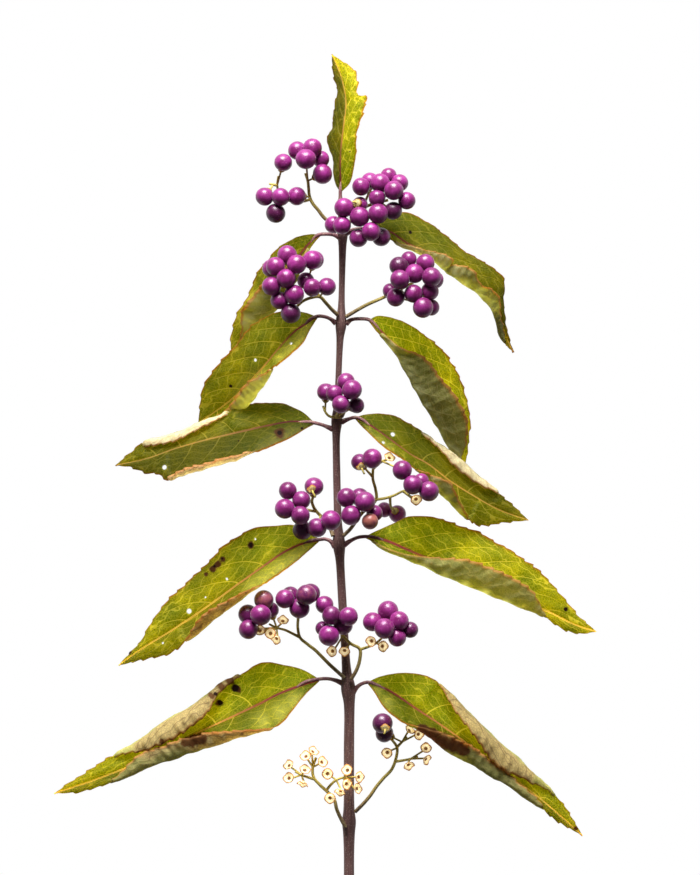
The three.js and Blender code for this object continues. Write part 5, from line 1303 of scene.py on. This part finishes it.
def pedicel_root(berry, joints, berries):
    """The nearest place on a twig from which a straight pedicel clears every other berry, or None."""
    centre, radius = np.array(berry[:3]), berry[3]
    for root in sorted(joints, key=lambda joint: np.linalg.norm(joint - centre)):
        out = unit(root - centre)
        seat = centre + out * (radius * PACKED_ROUND + PACKED_GAP)
        neck = seat + out * CALYX_HEIGHT
        is_free = np.linalg.norm(root - centre) <= LONGEST_PEDICEL + radius
        for other in berries:
            if other is berry or not is_free:
                continue
            middle = np.array(other[:3])
            room = other[3] * PACKED_ROUND + PACKED_GAP
            near = np.linalg.norm(nearest_on(root, neck, middle) - middle)
            is_free = near > room + PACKED_PEDICEL
            is_free = is_free and np.linalg.norm(seat - middle) > room + PACKED_CALYX
        if is_free:
            return root
    return None


def square_to(axis):
    """Two directions square to an axis and to each other."""
    side = unit(np.cross(axis, (1, 0, 0) if abs(axis[0]) < ALONG_AXIS else (0, 1, 0)))
    return side, np.cross(axis, side)


def berry_part(berry, stalk_way, tone, tan, seed):
    """A berry: a ball a little wider than it is long, with a dimple at the scar, opposite the stalk.

    The distance from the middle is the radius, less a dimple that falls off with the angle from the
    scar, less a wider one at the stalk, and changed by a slow ripple.
    """
    *centre, radius = berry
    angle = np.linspace(0, np.pi, BERRY_ROWS + 2)[1:-1][:, None]
    turn = full_turn(BERRY_SIDES)[None, :]
    side, other = square_to(stalk_way)
    out = (
        np.cos(angle)[..., None] * -stalk_way
        + (np.sin(angle) * np.cos(turn))[..., None] * side
        + (np.sin(angle) * np.sin(turn))[..., None] * other
    )
    scar_depth, scar_width = SCAR_DIMPLE
    stalk_depth, stalk_width = STALK_DIMPLE
    lump_size, lump_height = LUMPS
    squeeze = 1 - FLATTENED * np.cos(angle) ** 2 - scar_depth * bell(angle, scar_width)
    squeeze = squeeze - stalk_depth * bell(np.pi - angle, stalk_width)
    squeeze = squeeze + lump_height * ripple(out, lump_size, seed)
    points = (np.array(centre) + out * (SWELL * radius * squeeze)[..., None]).reshape(-1, 3)
    faces, ends = wrapped_faces(BERRY_ROWS, BERRY_SIDES)
    from_scar = np.broadcast_to(angle, (BERRY_ROWS, BERRY_SIDES)).ravel()
    uv = np.stack([np.tile(np.linspace(0, 1, BERRY_SIDES), BERRY_ROWS), from_scar], axis=1)
    return part(points, faces, ends, 0, uv, from_scar=from_scar, tone=tone, tan=tan)


def cup_part(mouth, axis, radius, depth, seed, green=0.0):
    """A calyx: a bell turned about its axis, closed, with a wavy rim of pointed lobes.

    The profile runs up the outside from the neck to the rim and down the inside to the middle. The rim
    stands further out and further up wherever the cosine of LOBES times the turn is high.
    """
    chance = np.random.default_rng(seed)
    side, other = square_to(axis)
    turn = full_turn(4 * LOBES, chance.uniform(0, 6))
    lobe = np.cos(LOBES * turn) * chance.uniform(*LOBE_SIZES, len(turn))
    wide, high, wavy, inner = CUP_PROFILE.T[..., None]
    out = wide * (1 + LOBE_OUT * wavy * lobe) * radius
    up = (high + LOBE_UP * wavy * lobe) * depth
    ring = np.cos(turn)[:, None] * side + np.sin(turn)[:, None] * other
    points = mouth + out[..., None] * ring[None] + up[..., None] * axis
    faces, ends = wrapped_faces(*out.shape)
    inner = np.repeat(inner, len(turn))
    return part(points.reshape(-1, 3), faces, ends, CALYX_SKIN, inner=inner, green=green)


def twig_tubes(paths):
    """The twigs of a cyme as tubes that thin out, with the main one first."""
    tubes = []
    for path in paths:
        is_main = not tubes
        line = even_line(path, TWIG_ROWS * len(path))
        radius = np.linspace(*TWIG_TAPER, len(line)) * (TWIG if is_main else SIDE_TWIG)
        along = np.linspace(0, 1, len(line)) if is_main else SIDE_AGE
        tubes.append(tube(line, radius, TWIG_SIDES, along=along))
    return tubes


def front_calyx(centre, radius, seed):
    """The calyx on the front of a berry and the stub of its stalk, for the few berries that show one."""
    parts = []
    for x, y, lean_x, lean_y in FRONT_CALYCES:
        off = np.array([x - centre[0], y - centre[1]]) / radius
        if off @ off < ON_FRONT:
            front = np.array([*off, np.sqrt(1 - off @ off)])
            lean = unit(front + (lean_x, lean_y, STUB_LEAN))
            seat = centre + front * (radius * SEAT)
            size, depth = CALYX * FRONT_WIDER, CALYX_HEIGHT * FRONT_SHALLOWER
            stub = [seat + lean * far for far in STUB]
            stub[-1] = stub[-1] + (lean_x, lean_y, -STUB_SINK)
            parts.append(cup_part(seat, -lean, size, depth, seed, FRONT_GREEN))
            parts.append(tube(smooth_line(stub, PEDICEL_ROWS), PEDICEL, PEDICEL_SIDES, along=BARE_AGE))
    return parts


def bare_calyx(mouth, joints, axis_seed, cup_seed):
    """An open calyx that has lost its berry, on a pedicel from the nearest place on a twig."""
    root = min(joints, key=lambda joint: np.linalg.norm(joint - mouth))
    chance = np.random.default_rng(axis_seed)
    axis = unit(unit(mouth - root) + (*chance.uniform(-0.9, 0.9, 2), chance.uniform(0.2, 1.2)))
    neck = mouth - axis * CALYX_HEIGHT
    line = smooth_line([root, blend(root, neck, 0.5) + PEDICEL_SAG, neck], BARE_ROWS)
    pedicel = tube(line, PEDICEL, PEDICEL_SIDES, along=BARE_AGE)
    return [pedicel, cup_part(mouth, axis, OPEN_CALYX, CALYX_HEIGHT, cup_seed)]


def make_cyme(letter, cyme):
    """One cyme as two pieces: its forked stalk with the calyces, and its berries."""
    groups = [place_berries(*bunch) for bunch in cyme.get("bunches", [])]
    berries = [berry for group in groups for berry in group]
    paths = [below_berries(line, berries) for line in cyme["twigs"]]
    joints = [point for path in paths for point in path[1:-1]][2:]
    stalks, balls = twig_tubes(paths), []
    for number, berry in enumerate(berries):
        seed = ord(letter) * BERRY_SEEDS + number
        chance = np.random.default_rng(seed)
        centre, radius = np.array(berry[:3]), berry[3]
        root = pedicel_root(berry, joints, berries)
        if root is None:
            way = unit(np.array([*chance.uniform(-0.6, 0.6, 2), -1.0]))
        else:
            way = unit(root - centre)
            seat = centre + way * (radius * SEAT)
            line = np.linspace(root, seat, PEDICEL_ROWS)
            depth = CALYX_HEIGHT * BEHIND_SHALLOWER
            stalks.append(tube(line, PEDICEL, PEDICEL_SIDES, along=PEDICEL_AGE))
            stalks.append(cup_part(seat, -way, CALYX, depth, seed, BEHIND_GREEN))
        tone = cyme.get("tone", 0) + chance.uniform(*TONE_RANGE)
        tan = chance.uniform(*TAN_RANGE)
        for x, y, aged_tone, aged_tan in AGED_BERRIES:
            if np.hypot(x - centre[0], y - centre[1]) < SAME_BERRY:
                tone, tan = aged_tone, aged_tan
        balls.append(berry_part(berry, way, tone, tan, seed))
        stalks += front_calyx(centre, radius, seed)
    for number, mouth in enumerate(cyme.get("bare", [])):
        seeds = ord(letter) * BARE_SEEDS + number, ord(letter) + number
        stalks += bare_calyx(np.array(mouth, float), joints, *seeds)
    skins = [twig_skin, dry_calyx]
    piece(f"cyme_{letter}_twigs", stalks, skins, [f"cyme_{letter}_stalk"])
    nodes = [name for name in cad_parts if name.startswith(f"cyme_{letter}_berries_")]
    if nodes:
        piece(f"cyme_{letter}_berries", balls, [berry_skin], nodes)


def linear(colour):
    """An sRGB hex colour as the linear red, green, blue and alpha that a shader takes."""
    value = np.array([int(colour[i : i + 2], 16) for i in (1, 3, 5)]) / 255
    value = np.where(value <= 0.04045, value / 12.92, ((value + 0.055) / 1.055) ** 2.4)
    return (*value, 1.0)


def add(tree, kind, inputs=None, **settings):
    """Adds one node: settings are its own properties, inputs the value or source of each input."""
    node = tree.nodes.new(kind)
    for setting, value in settings.items():
        setattr(node, setting, value)
    for key, value in (inputs or {}).items():
        if isinstance(value, bpy.types.Node):
            value = value.outputs[0]
        if isinstance(value, bpy.types.NodeSocket):
            tree.links.new(value, node.inputs[key])
        else:
            node.inputs[key].default_value = value
    return node


def new_material(name):
    """A material with no nodes yet, and its tree."""
    material = bpy.data.materials.new(name)
    material.use_nodes = True
    material.node_tree.nodes.clear()
    return material, material.node_tree


def stored(tree, *names):
    """The values that the points of a mesh keep under these names."""
    return [add(tree, "ShaderNodeAttribute", attribute_name=name).outputs["Fac"] for name in names]


def surface_map(tree):
    """Place on the surface of a blade or a stalk."""
    return add(tree, "ShaderNodeUVMap", uv_map="surface").outputs[0]


def object_place(tree):
    """Place in the frame, in metres."""
    return add(tree, "ShaderNodeTexCoord").outputs["Object"]


def maths(tree, operation, *values, **settings):
    """One step of arithmetic on one to three values."""
    inputs = dict(enumerate(values))
    return add(tree, "ShaderNodeMath", inputs, operation=operation, **settings).outputs[0]


def ramp(tree, value, low, high, start=0.0, end=1.0):
    """A value that goes from start to end while another one goes from low to high."""
    inputs = {"Value": value, "From Min": low, "From Max": high, "To Min": start, "To Max": end}
    return add(tree, "ShaderNodeMapRange", inputs).outputs[0]


def mix(tree, share, first, second):
    """A colour at a share of the way from the first to the second, either of them hex or a source."""
    inputs = {0: share, 6: first, 7: second}
    inputs = {key: linear(value) if isinstance(value, str) else value for key, value in inputs.items()}
    return add(tree, "ShaderNodeMix", inputs, data_type="RGBA").outputs[2]


def adjusted(tree, colour, value, saturation=1.0):
    """A colour made brighter or darker, and more or less strong."""
    inputs = {"Saturation": saturation, "Value": value, "Color": colour}
    return add(tree, "ShaderNodeHueSaturation", inputs).outputs[0]


def noise(tree, place, scale, detail, roughness=0.5):
    """Clouds that change over about one unit of the place divided by the scale."""
    inputs = {"Vector": place, "Scale": scale, "Detail": detail, "Roughness": roughness}
    return add(tree, "ShaderNodeTexNoise", inputs).outputs[0]


def cells(tree, place, scale, **settings):
    """Distance from the middles of cells, about one unit divided by the scale apart, or their edges."""
    return add(tree, "ShaderNodeTexVoronoi", {"Vector": place, "Scale": scale}, **settings).outputs[0]


def bumped(tree, height, distance, strength):
    """Normals of a surface that stands out by the height times the distance, in metres."""
    inputs = {"Height": height, "Distance": distance, "Strength": strength}
    return add(tree, "ShaderNodeBump", inputs).outputs[0]


def principled(tree, colour, roughness, **inputs):
    """A plain surface of one colour. Further inputs are named with an underscore for a space."""
    named = {key.replace("_", " "): value for key, value in inputs.items()}
    inputs = {"Base Color": colour, "Roughness": roughness, **named}
    return add(tree, "ShaderNodeBsdfPrincipled", inputs).outputs[0]


def as_surface(tree, shader):
    """Makes a shader the surface of its material."""
    add(tree, "ShaderNodeOutputMaterial", {"Surface": shader})


def vein_net(tree, surface, look):
    """The net of veins of a blade: up to 1 on a vein and 0 between them.

    Side veins lie where the wave of reach less a power of the place across is a whole number. Rungs
    slant from one to the next, and a fine mesh of cells fills what is left.
    """
    across, reach, from_rib, gap = stored(tree, "across", "reach", "from_rib", "vein_gap")
    t = maths(tree, "ABSOLUTE", across)
    sweep = maths(tree, "MULTIPLY_ADD", maths(tree, "POWER", t, VEIN_CURVE), -VEIN_SWEEP, reach)
    offset = maths(tree, "MULTIPLY", maths(tree, "GREATER_THAN", across, 0.0), VEIN_OFFSET)
    even = maths(tree, "MULTIPLY_ADD", sweep, LATERALS, offset)
    # uneven over 11 mm, so that no two side veins run alike
    wave = maths(tree, "MULTIPLY_ADD", noise(tree, surface, 9.0, 0.0), 0.22, even)
    # side veins 0.23 mm wide at the midrib and 0.14 mm near the margin
    off_vein = maths(tree, "MULTIPLY", maths(tree, "PINGPONG", wave, 0.5), gap)
    vein_share = maths(tree, "DIVIDE", off_vein, ramp(tree, t, 0.0, 1.0, 0.16, 0.1))
    vein = ramp(tree, vein_share, 0.45, 1.0, 1.0, 0.0)
    lateral = maths(tree, "MULTIPLY", vein, ramp(tree, t, 0.78, 0.96, 1.0, 0.0))
    # rungs every 1.3 mm, wandering over 3 mm
    slant = maths(tree, "MULTIPLY_ADD", from_rib, 1 / 1.3, maths(tree, "FRACT", wave))
    shifted = maths(tree, "MULTIPLY_ADD", maths(tree, "FLOOR", wave), 0.37, slant)
    wander = maths(tree, "MULTIPLY_ADD", noise(tree, surface, 33.0, 2.0), 1.6, shifted)
    rung = ramp(tree, maths(tree, "PINGPONG", wander, 0.5), 0.03, 0.1, 1.0, 0.0)
    # areoles of about 0.5 mm
    areoles = cells(tree, surface, 190.0, feature="DISTANCE_TO_EDGE")
    mesh_line = ramp(tree, areoles, 0.0, 0.14, 1.0, 0.0)
    rung_tint = maths(tree, "MULTIPLY", rung, look["rung"])
    mesh_tint = maths(tree, "MULTIPLY", mesh_line, look["mesh"])
    lateral_tint = maths(tree, "MULTIPLY", lateral, look["vein_strength"])
    return maths(tree, "MAXIMUM", lateral_tint, maths(tree, "MAXIMUM", rung_tint, mesh_tint))


def living_tissue(tree, surface, patches, net, look):
    """The colour of living tissue with its veins and midrib, with painted light and shade on each half.
    """
    reach, from_rib, pale, tint = stored(tree, "reach", "from_rib", "pale", "tint")
    tissue = mix(tree, ramp(tree, patches, 0.3, 0.72), look["dark"], look["light"])
    # green between the finest veins is darker, in flecks of 0.3 mm
    flecks = noise(tree, surface, 330.0, 3.0, 0.6)
    tissue = mix(tree, ramp(tree, flecks, 0.36, 0.58, 0.5, 0.0), tissue, look["fleck"])
    tissue = mix(tree, ramp(tree, reach, 0.0, 0.5, 0.55, 0.0), tissue, look["deep"])
    # where the blade is worn thin it is paler, and along folds and rolls the pale marks are a painted
    # sheen of light
    tissue = mix(tree, maths(tree, "MULTIPLY", pale, look["pale_share"]), tissue, look["pale"])
    tissue = mix(tree, net, tissue, look["vein"])
    rib_share = maths(tree, "DIVIDE", from_rib, ramp(tree, reach, 0.0, 1.0, 0.3, 0.13))
    rib_colour = mix(tree, ramp(tree, reach, 0.15, 0.5), look["rib_base"], look["rib_tip"])
    tissue = mix(tree, ramp(tree, rib_share, 0.6, 1.2, 1.0, 0.0), tissue, rib_colour)
    # painted light and shade: the half made brighter or darker for how light falls on it
    return adjusted(tree, tissue, maths(tree, "ADD", tint, 1.0))


def aged_tissue(tree, surface, patches, net, tissue):
    """Tissue with its blemishes: dead and bleached parts, a brown margin, brown patches and spots."""
    across, dry, bleached, brown, spot = stored(tree, "across", "dry", "bleached", "brown", "spot")
    # dead tissue is beige and papery, with the veins left dark
    dark_net = maths(tree, "MULTIPLY", net, 1.8, use_clamp=True)
    dry_edge = maths(tree, "MULTIPLY_ADD", patches, 0.9, dry)
    dry_veins = mix(tree, dark_net, "#AE9C66", "#5E4630")
    tissue = mix(tree, ramp(tree, dry_edge, 0.75, 1.1), tissue, dry_veins)
    bleached_veins = mix(tree, dark_net, "#D2C8A2", "#A48C64")
    tissue = mix(tree, ramp(tree, bleached, 0.15, 0.6, 0.0, 0.9), tissue, bleached_veins)
    rim = ramp(tree, maths(tree, "ABSOLUTE", across), 0.95, 0.985)
    tissue = mix(tree, maths(tree, "MULTIPLY", rim, 0.75), tissue, "#A06A2E")
    # brown patches and dark spots have ragged edges
    ragged = noise(tree, surface, 90.0, 3.0)
    for mark, colour, low in ((brown, "#644424", 0.85), (spot, "#2C1A12", 0.75)):
        edge = maths(tree, "MULTIPLY_ADD", ragged, 0.8, mark)
        tissue = mix(tree, ramp(tree, edge, low, low + 0.25), tissue, colour)
    return tissue


def leaf_material(name, look):
    """Leaf tissue of one side of a blade, which lets light through and has holes worn into it."""
    material, tree = new_material(name)
    surface = surface_map(tree)
    # lighter and darker patches over 7 mm
    patches = noise(tree, surface, 14.0, 4.0, 0.6)
    net = vein_net(tree, surface, look)
    tissue = living_tissue(tree, surface, patches, net, look)
    tissue = aged_tissue(tree, surface, patches, net, tissue)
    net_height = maths(tree, "MULTIPLY", net, look["net_height"])
    height = maths(tree, "MULTIPLY_ADD", noise(tree, surface, 160.0, 3.0), 0.35, net_height)
    bump = bumped(tree, height, 0.0002, 0.5)
    shade = adjusted(tree, tissue, look["shade"])
    front = principled(tree, shade, look["roughness"], Specular_IOR_Level=0.15, Normal=bump)
    glow = adjusted(tree, tissue, look["glow"], 1.05)
    through = add(tree, "ShaderNodeBsdfTranslucent", {"Color": glow, "Normal": bump})
    blade = add(tree, "ShaderNodeMixShader", {0: look["through"], 1: front, 2: through})
    torn = add(tree, "ShaderNodeBsdfTransparent", {"Color": (1, 1, 1, 1)})
    [hole] = stored(tree, "hole")
    is_hole = ramp(tree, hole, 0.35, 0.6)
    as_surface(tree, add(tree, "ShaderNodeMixShader", {0: is_hole, 1: blade, 2: torn}))
    return material


def berry_material():
    """Ripe drupe skin: smooth, thin and waxy, grown rather than made.

    It gives a soft highlight over a deep magenta purple that turns nearly black off the light, with fine
    pale dots, a dark scar and, on ageing berries, a tan bruise.
    """
    material, tree = new_material("ripe drupe skin, grown")
    place = object_place(tree)
    tone, tan, from_scar = stored(tree, "tone", "tan", "from_scar")
    # clouds over 1.5 mm
    clouds = noise(tree, place, 650.0, 4.0, 0.55)
    skin = mix(tree, ramp(tree, clouds, 0.35, 0.68), "#64144E", "#8C2A78")
    skin = mix(tree, tone, skin, "#300C24")
    # dots of 0.1 mm, about 0.35 mm apart
    dot = ramp(tree, cells(tree, place, 2900.0), 0.1, 0.24, 0.35, 0.0)
    skin = mix(tree, dot, skin, "#B0649A")
    bruise = maths(tree, "MULTIPLY_ADD", clouds, 1.0, tan)
    skin = mix(tree, ramp(tree, bruise, 0.95, 1.35), skin, "#8C5048")
    skin = mix(tree, ramp(tree, from_scar, 0.07, 0.13, 0.75, 0.0), skin, "#3A1420")
    bump = bumped(tree, maths(tree, "ADD", clouds, dot), 0.0001, 0.5)
    roughness = ramp(tree, clouds, 0.0, 1.0, 0.26, 0.42)
    wax = {"IOR": 1.45, "Sheen_Weight": 0.12, "Sheen_Roughness": 0.25}
    as_surface(tree, principled(tree, skin, roughness, Normal=bump, **wax))
    return material


def bark_material():
    """Young bark, grown: matt purple brown with fine ridges along it and pale raised pores."""
    material, tree = new_material("young bark, grown")
    # ridges 0.3 mm apart round the stem and 6 mm long
    mapping = {"Vector": surface_map(tree), "Scale": (22.0, 0.16, 1.0)}
    ridges = noise(tree, add(tree, "ShaderNodeMapping", mapping), 1.0, 3.0, 0.6)
    skin = mix(tree, ramp(tree, ridges, 0.3, 0.7), "#452B2A", "#74524E")
    # pores of 0.1 mm, about 0.35 mm apart
    pore = ramp(tree, cells(tree, object_place(tree), 2900.0), 0.14, 0.3, 0.8, 0.0)
    skin = mix(tree, pore, skin, "#A08878")
    bump = bumped(tree, maths(tree, "ADD", ridges, pore), 0.00018, 0.8)
    as_surface(tree, principled(tree, skin, 0.72, Normal=bump))
    return material


def stalk_material(name, start, end):
    """Green stalk tissue, grown: matt, turning from the colour of the twig to that of its end."""
    material, tree = new_material(name)
    [along] = stored(tree, "along")
    skin = mix(tree, ramp(tree, along, 0.1, 0.6), start, end)
    # a felt of fine hairs that is uneven over 0.45 mm
    hairs = noise(tree, object_place(tree), 2200.0, 3.0)
    skin = mix(tree, ramp(tree, hairs, 0.45, 0.8, 0.0, 0.25), skin, "#D8CFA0")
    as_surface(tree, principled(tree, skin, 0.65, Normal=bumped(tree, hairs, 0.00012, 0.6)))
    return material


def calyx_material():
    """Dry calyx tissue, grown and dried: papery cream that lets light through, dark in its middle."""
    material, tree = new_material("calyx tissue, dried")
    inner, green = stored(tree, "inner", "green")
    mottle = noise(tree, object_place(tree), 1500.0, 2.0)
    paper = mix(tree, green, mix(tree, mottle, "#F0E2BC", "#FBF6E6"), "#A8A050")
    rim = maths(tree, "COMPARE", inner, 0.3, 0.12)
    paper = mix(tree, maths(tree, "MULTIPLY", rim, 0.85), paper, "#B07C28")
    paper = mix(tree, ramp(tree, inner, 0.78, 1.0), paper, "#6E4A2A")
    front = principled(tree, paper, 0.6)
    through = add(tree, "ShaderNodeBsdfTranslucent", {"Color": adjusted(tree, paper, 1.7)})
    as_surface(tree, add(tree, "ShaderNodeMixShader", {0: 0.65, 1: front, 2: through}))
    return material


def make_light_panel():
    """The light panel that the branch lies on, which runs out of the picture on every side."""
    mesh = bpy.data.meshes.new("light_panel")
    corners = [(-1, -1), (1, -1), (1, 1), (-1, 1)]
    corners = [(x * PANEL_REACH, y * PANEL_REACH, 0) for x, y in corners]
    mesh.from_pydata(corners, [], [(0, 1, 2, 3)])
    floor = bpy.data.objects.new("light_panel", mesh)
    bpy.context.scene.collection.objects.link(floor)
    acrylic, tree = new_material("opal acrylic, lit from below")
    as_surface(tree, add(tree, "ShaderNodeEmission", {"Color": (1, 1, 1, 1), "Strength": 1.0}))
    mesh.materials.append(acrylic)


def make_room():
    """A pale room, whose light comes mostly from low on every side."""
    world = bpy.data.worlds.new("pale_room")
    world.use_nodes = True
    tree = world.node_tree
    tree.nodes.clear()
    direction = add(tree, "ShaderNodeTexCoord").outputs["Generated"]
    level = add(tree, "ShaderNodeSeparateXYZ", {0: direction}).outputs[2]
    strength = ramp(tree, level, 0.0, 0.2, 0.4, 0.1)
    sky = add(tree, "ShaderNodeBackground", {"Color": (1, 1, 1, 1), "Strength": strength})
    add(tree, "ShaderNodeOutputWorld", {"Surface": sky})
    bpy.context.scene.world = world


def make_lamp():
    """A soft lamp low over the top of the picture, which lights the upper side of each berry."""
    light = bpy.data.lights.new("soft_lamp", "AREA")
    light.size = LAMP_SIZE
    light.energy = LAMP_POWER
    lamp = bpy.data.objects.new("soft_lamp", light)
    lamp.location = LAMP_PLACE
    lamp.rotation_mode = "QUATERNION"
    lamp.rotation_quaternion = (-Vector(LAMP_PLACE)).to_track_quat("-Z", "Y")
    bpy.context.scene.collection.objects.link(lamp)


def make_camera():
    """The camera, which looks straight down and takes in 140 by 175 mm at the height of the leaves."""
    camera = bpy.data.cameras.new("camera")
    camera.sensor_width = SENSOR
    camera.lens = SENSOR * (CAMERA_HEIGHT - LEAF_HEIGHT) / VIEW_HEIGHT
    holder = bpy.data.objects.new("camera", camera)
    holder.location = (*VIEW_CENTRE, CAMERA_HEIGHT)
    bpy.context.scene.collection.objects.link(holder)
    bpy.context.scene.camera = holder
    bpy.context.scene.view_settings.view_transform = "Standard"


upper_tissue = leaf_material("leaf tissue, fresh upper side", UPPER_LOOK)
under_tissue = leaf_material("leaf tissue, fresh underside", UNDER_LOOK)
petiole_skin = stalk_material("petiole tissue, grown", "#76484E", "#B47A6C")
twig_skin = stalk_material("flower stalk tissue, grown", "#6A5434", "#A8963E")
berry_skin = berry_material()
bark = bark_material()
dry_calyx = calyx_material()

stem_line = even_line(STEM, STEM_ROWS)
stem_ring = tube(stem_line[:, :3], stem_line[:, 3], STEM_SIDES)
piece("stem_bark", [stem_ring], [bark], ["stem"])

for number, (leaf, shape) in enumerate(LEAVES.items()):
    blade, spine = blade_part(shape, number)
    parts = [blade, petiole_part(shape, spine)]
    piece(leaf + "_blade", parts, [upper_tissue, under_tissue, petiole_skin], [leaf])

for letter, cyme in CYMES.items():
    make_cyme(letter, cyme)

make_light_panel()
make_room()
make_lamp()
make_camera()
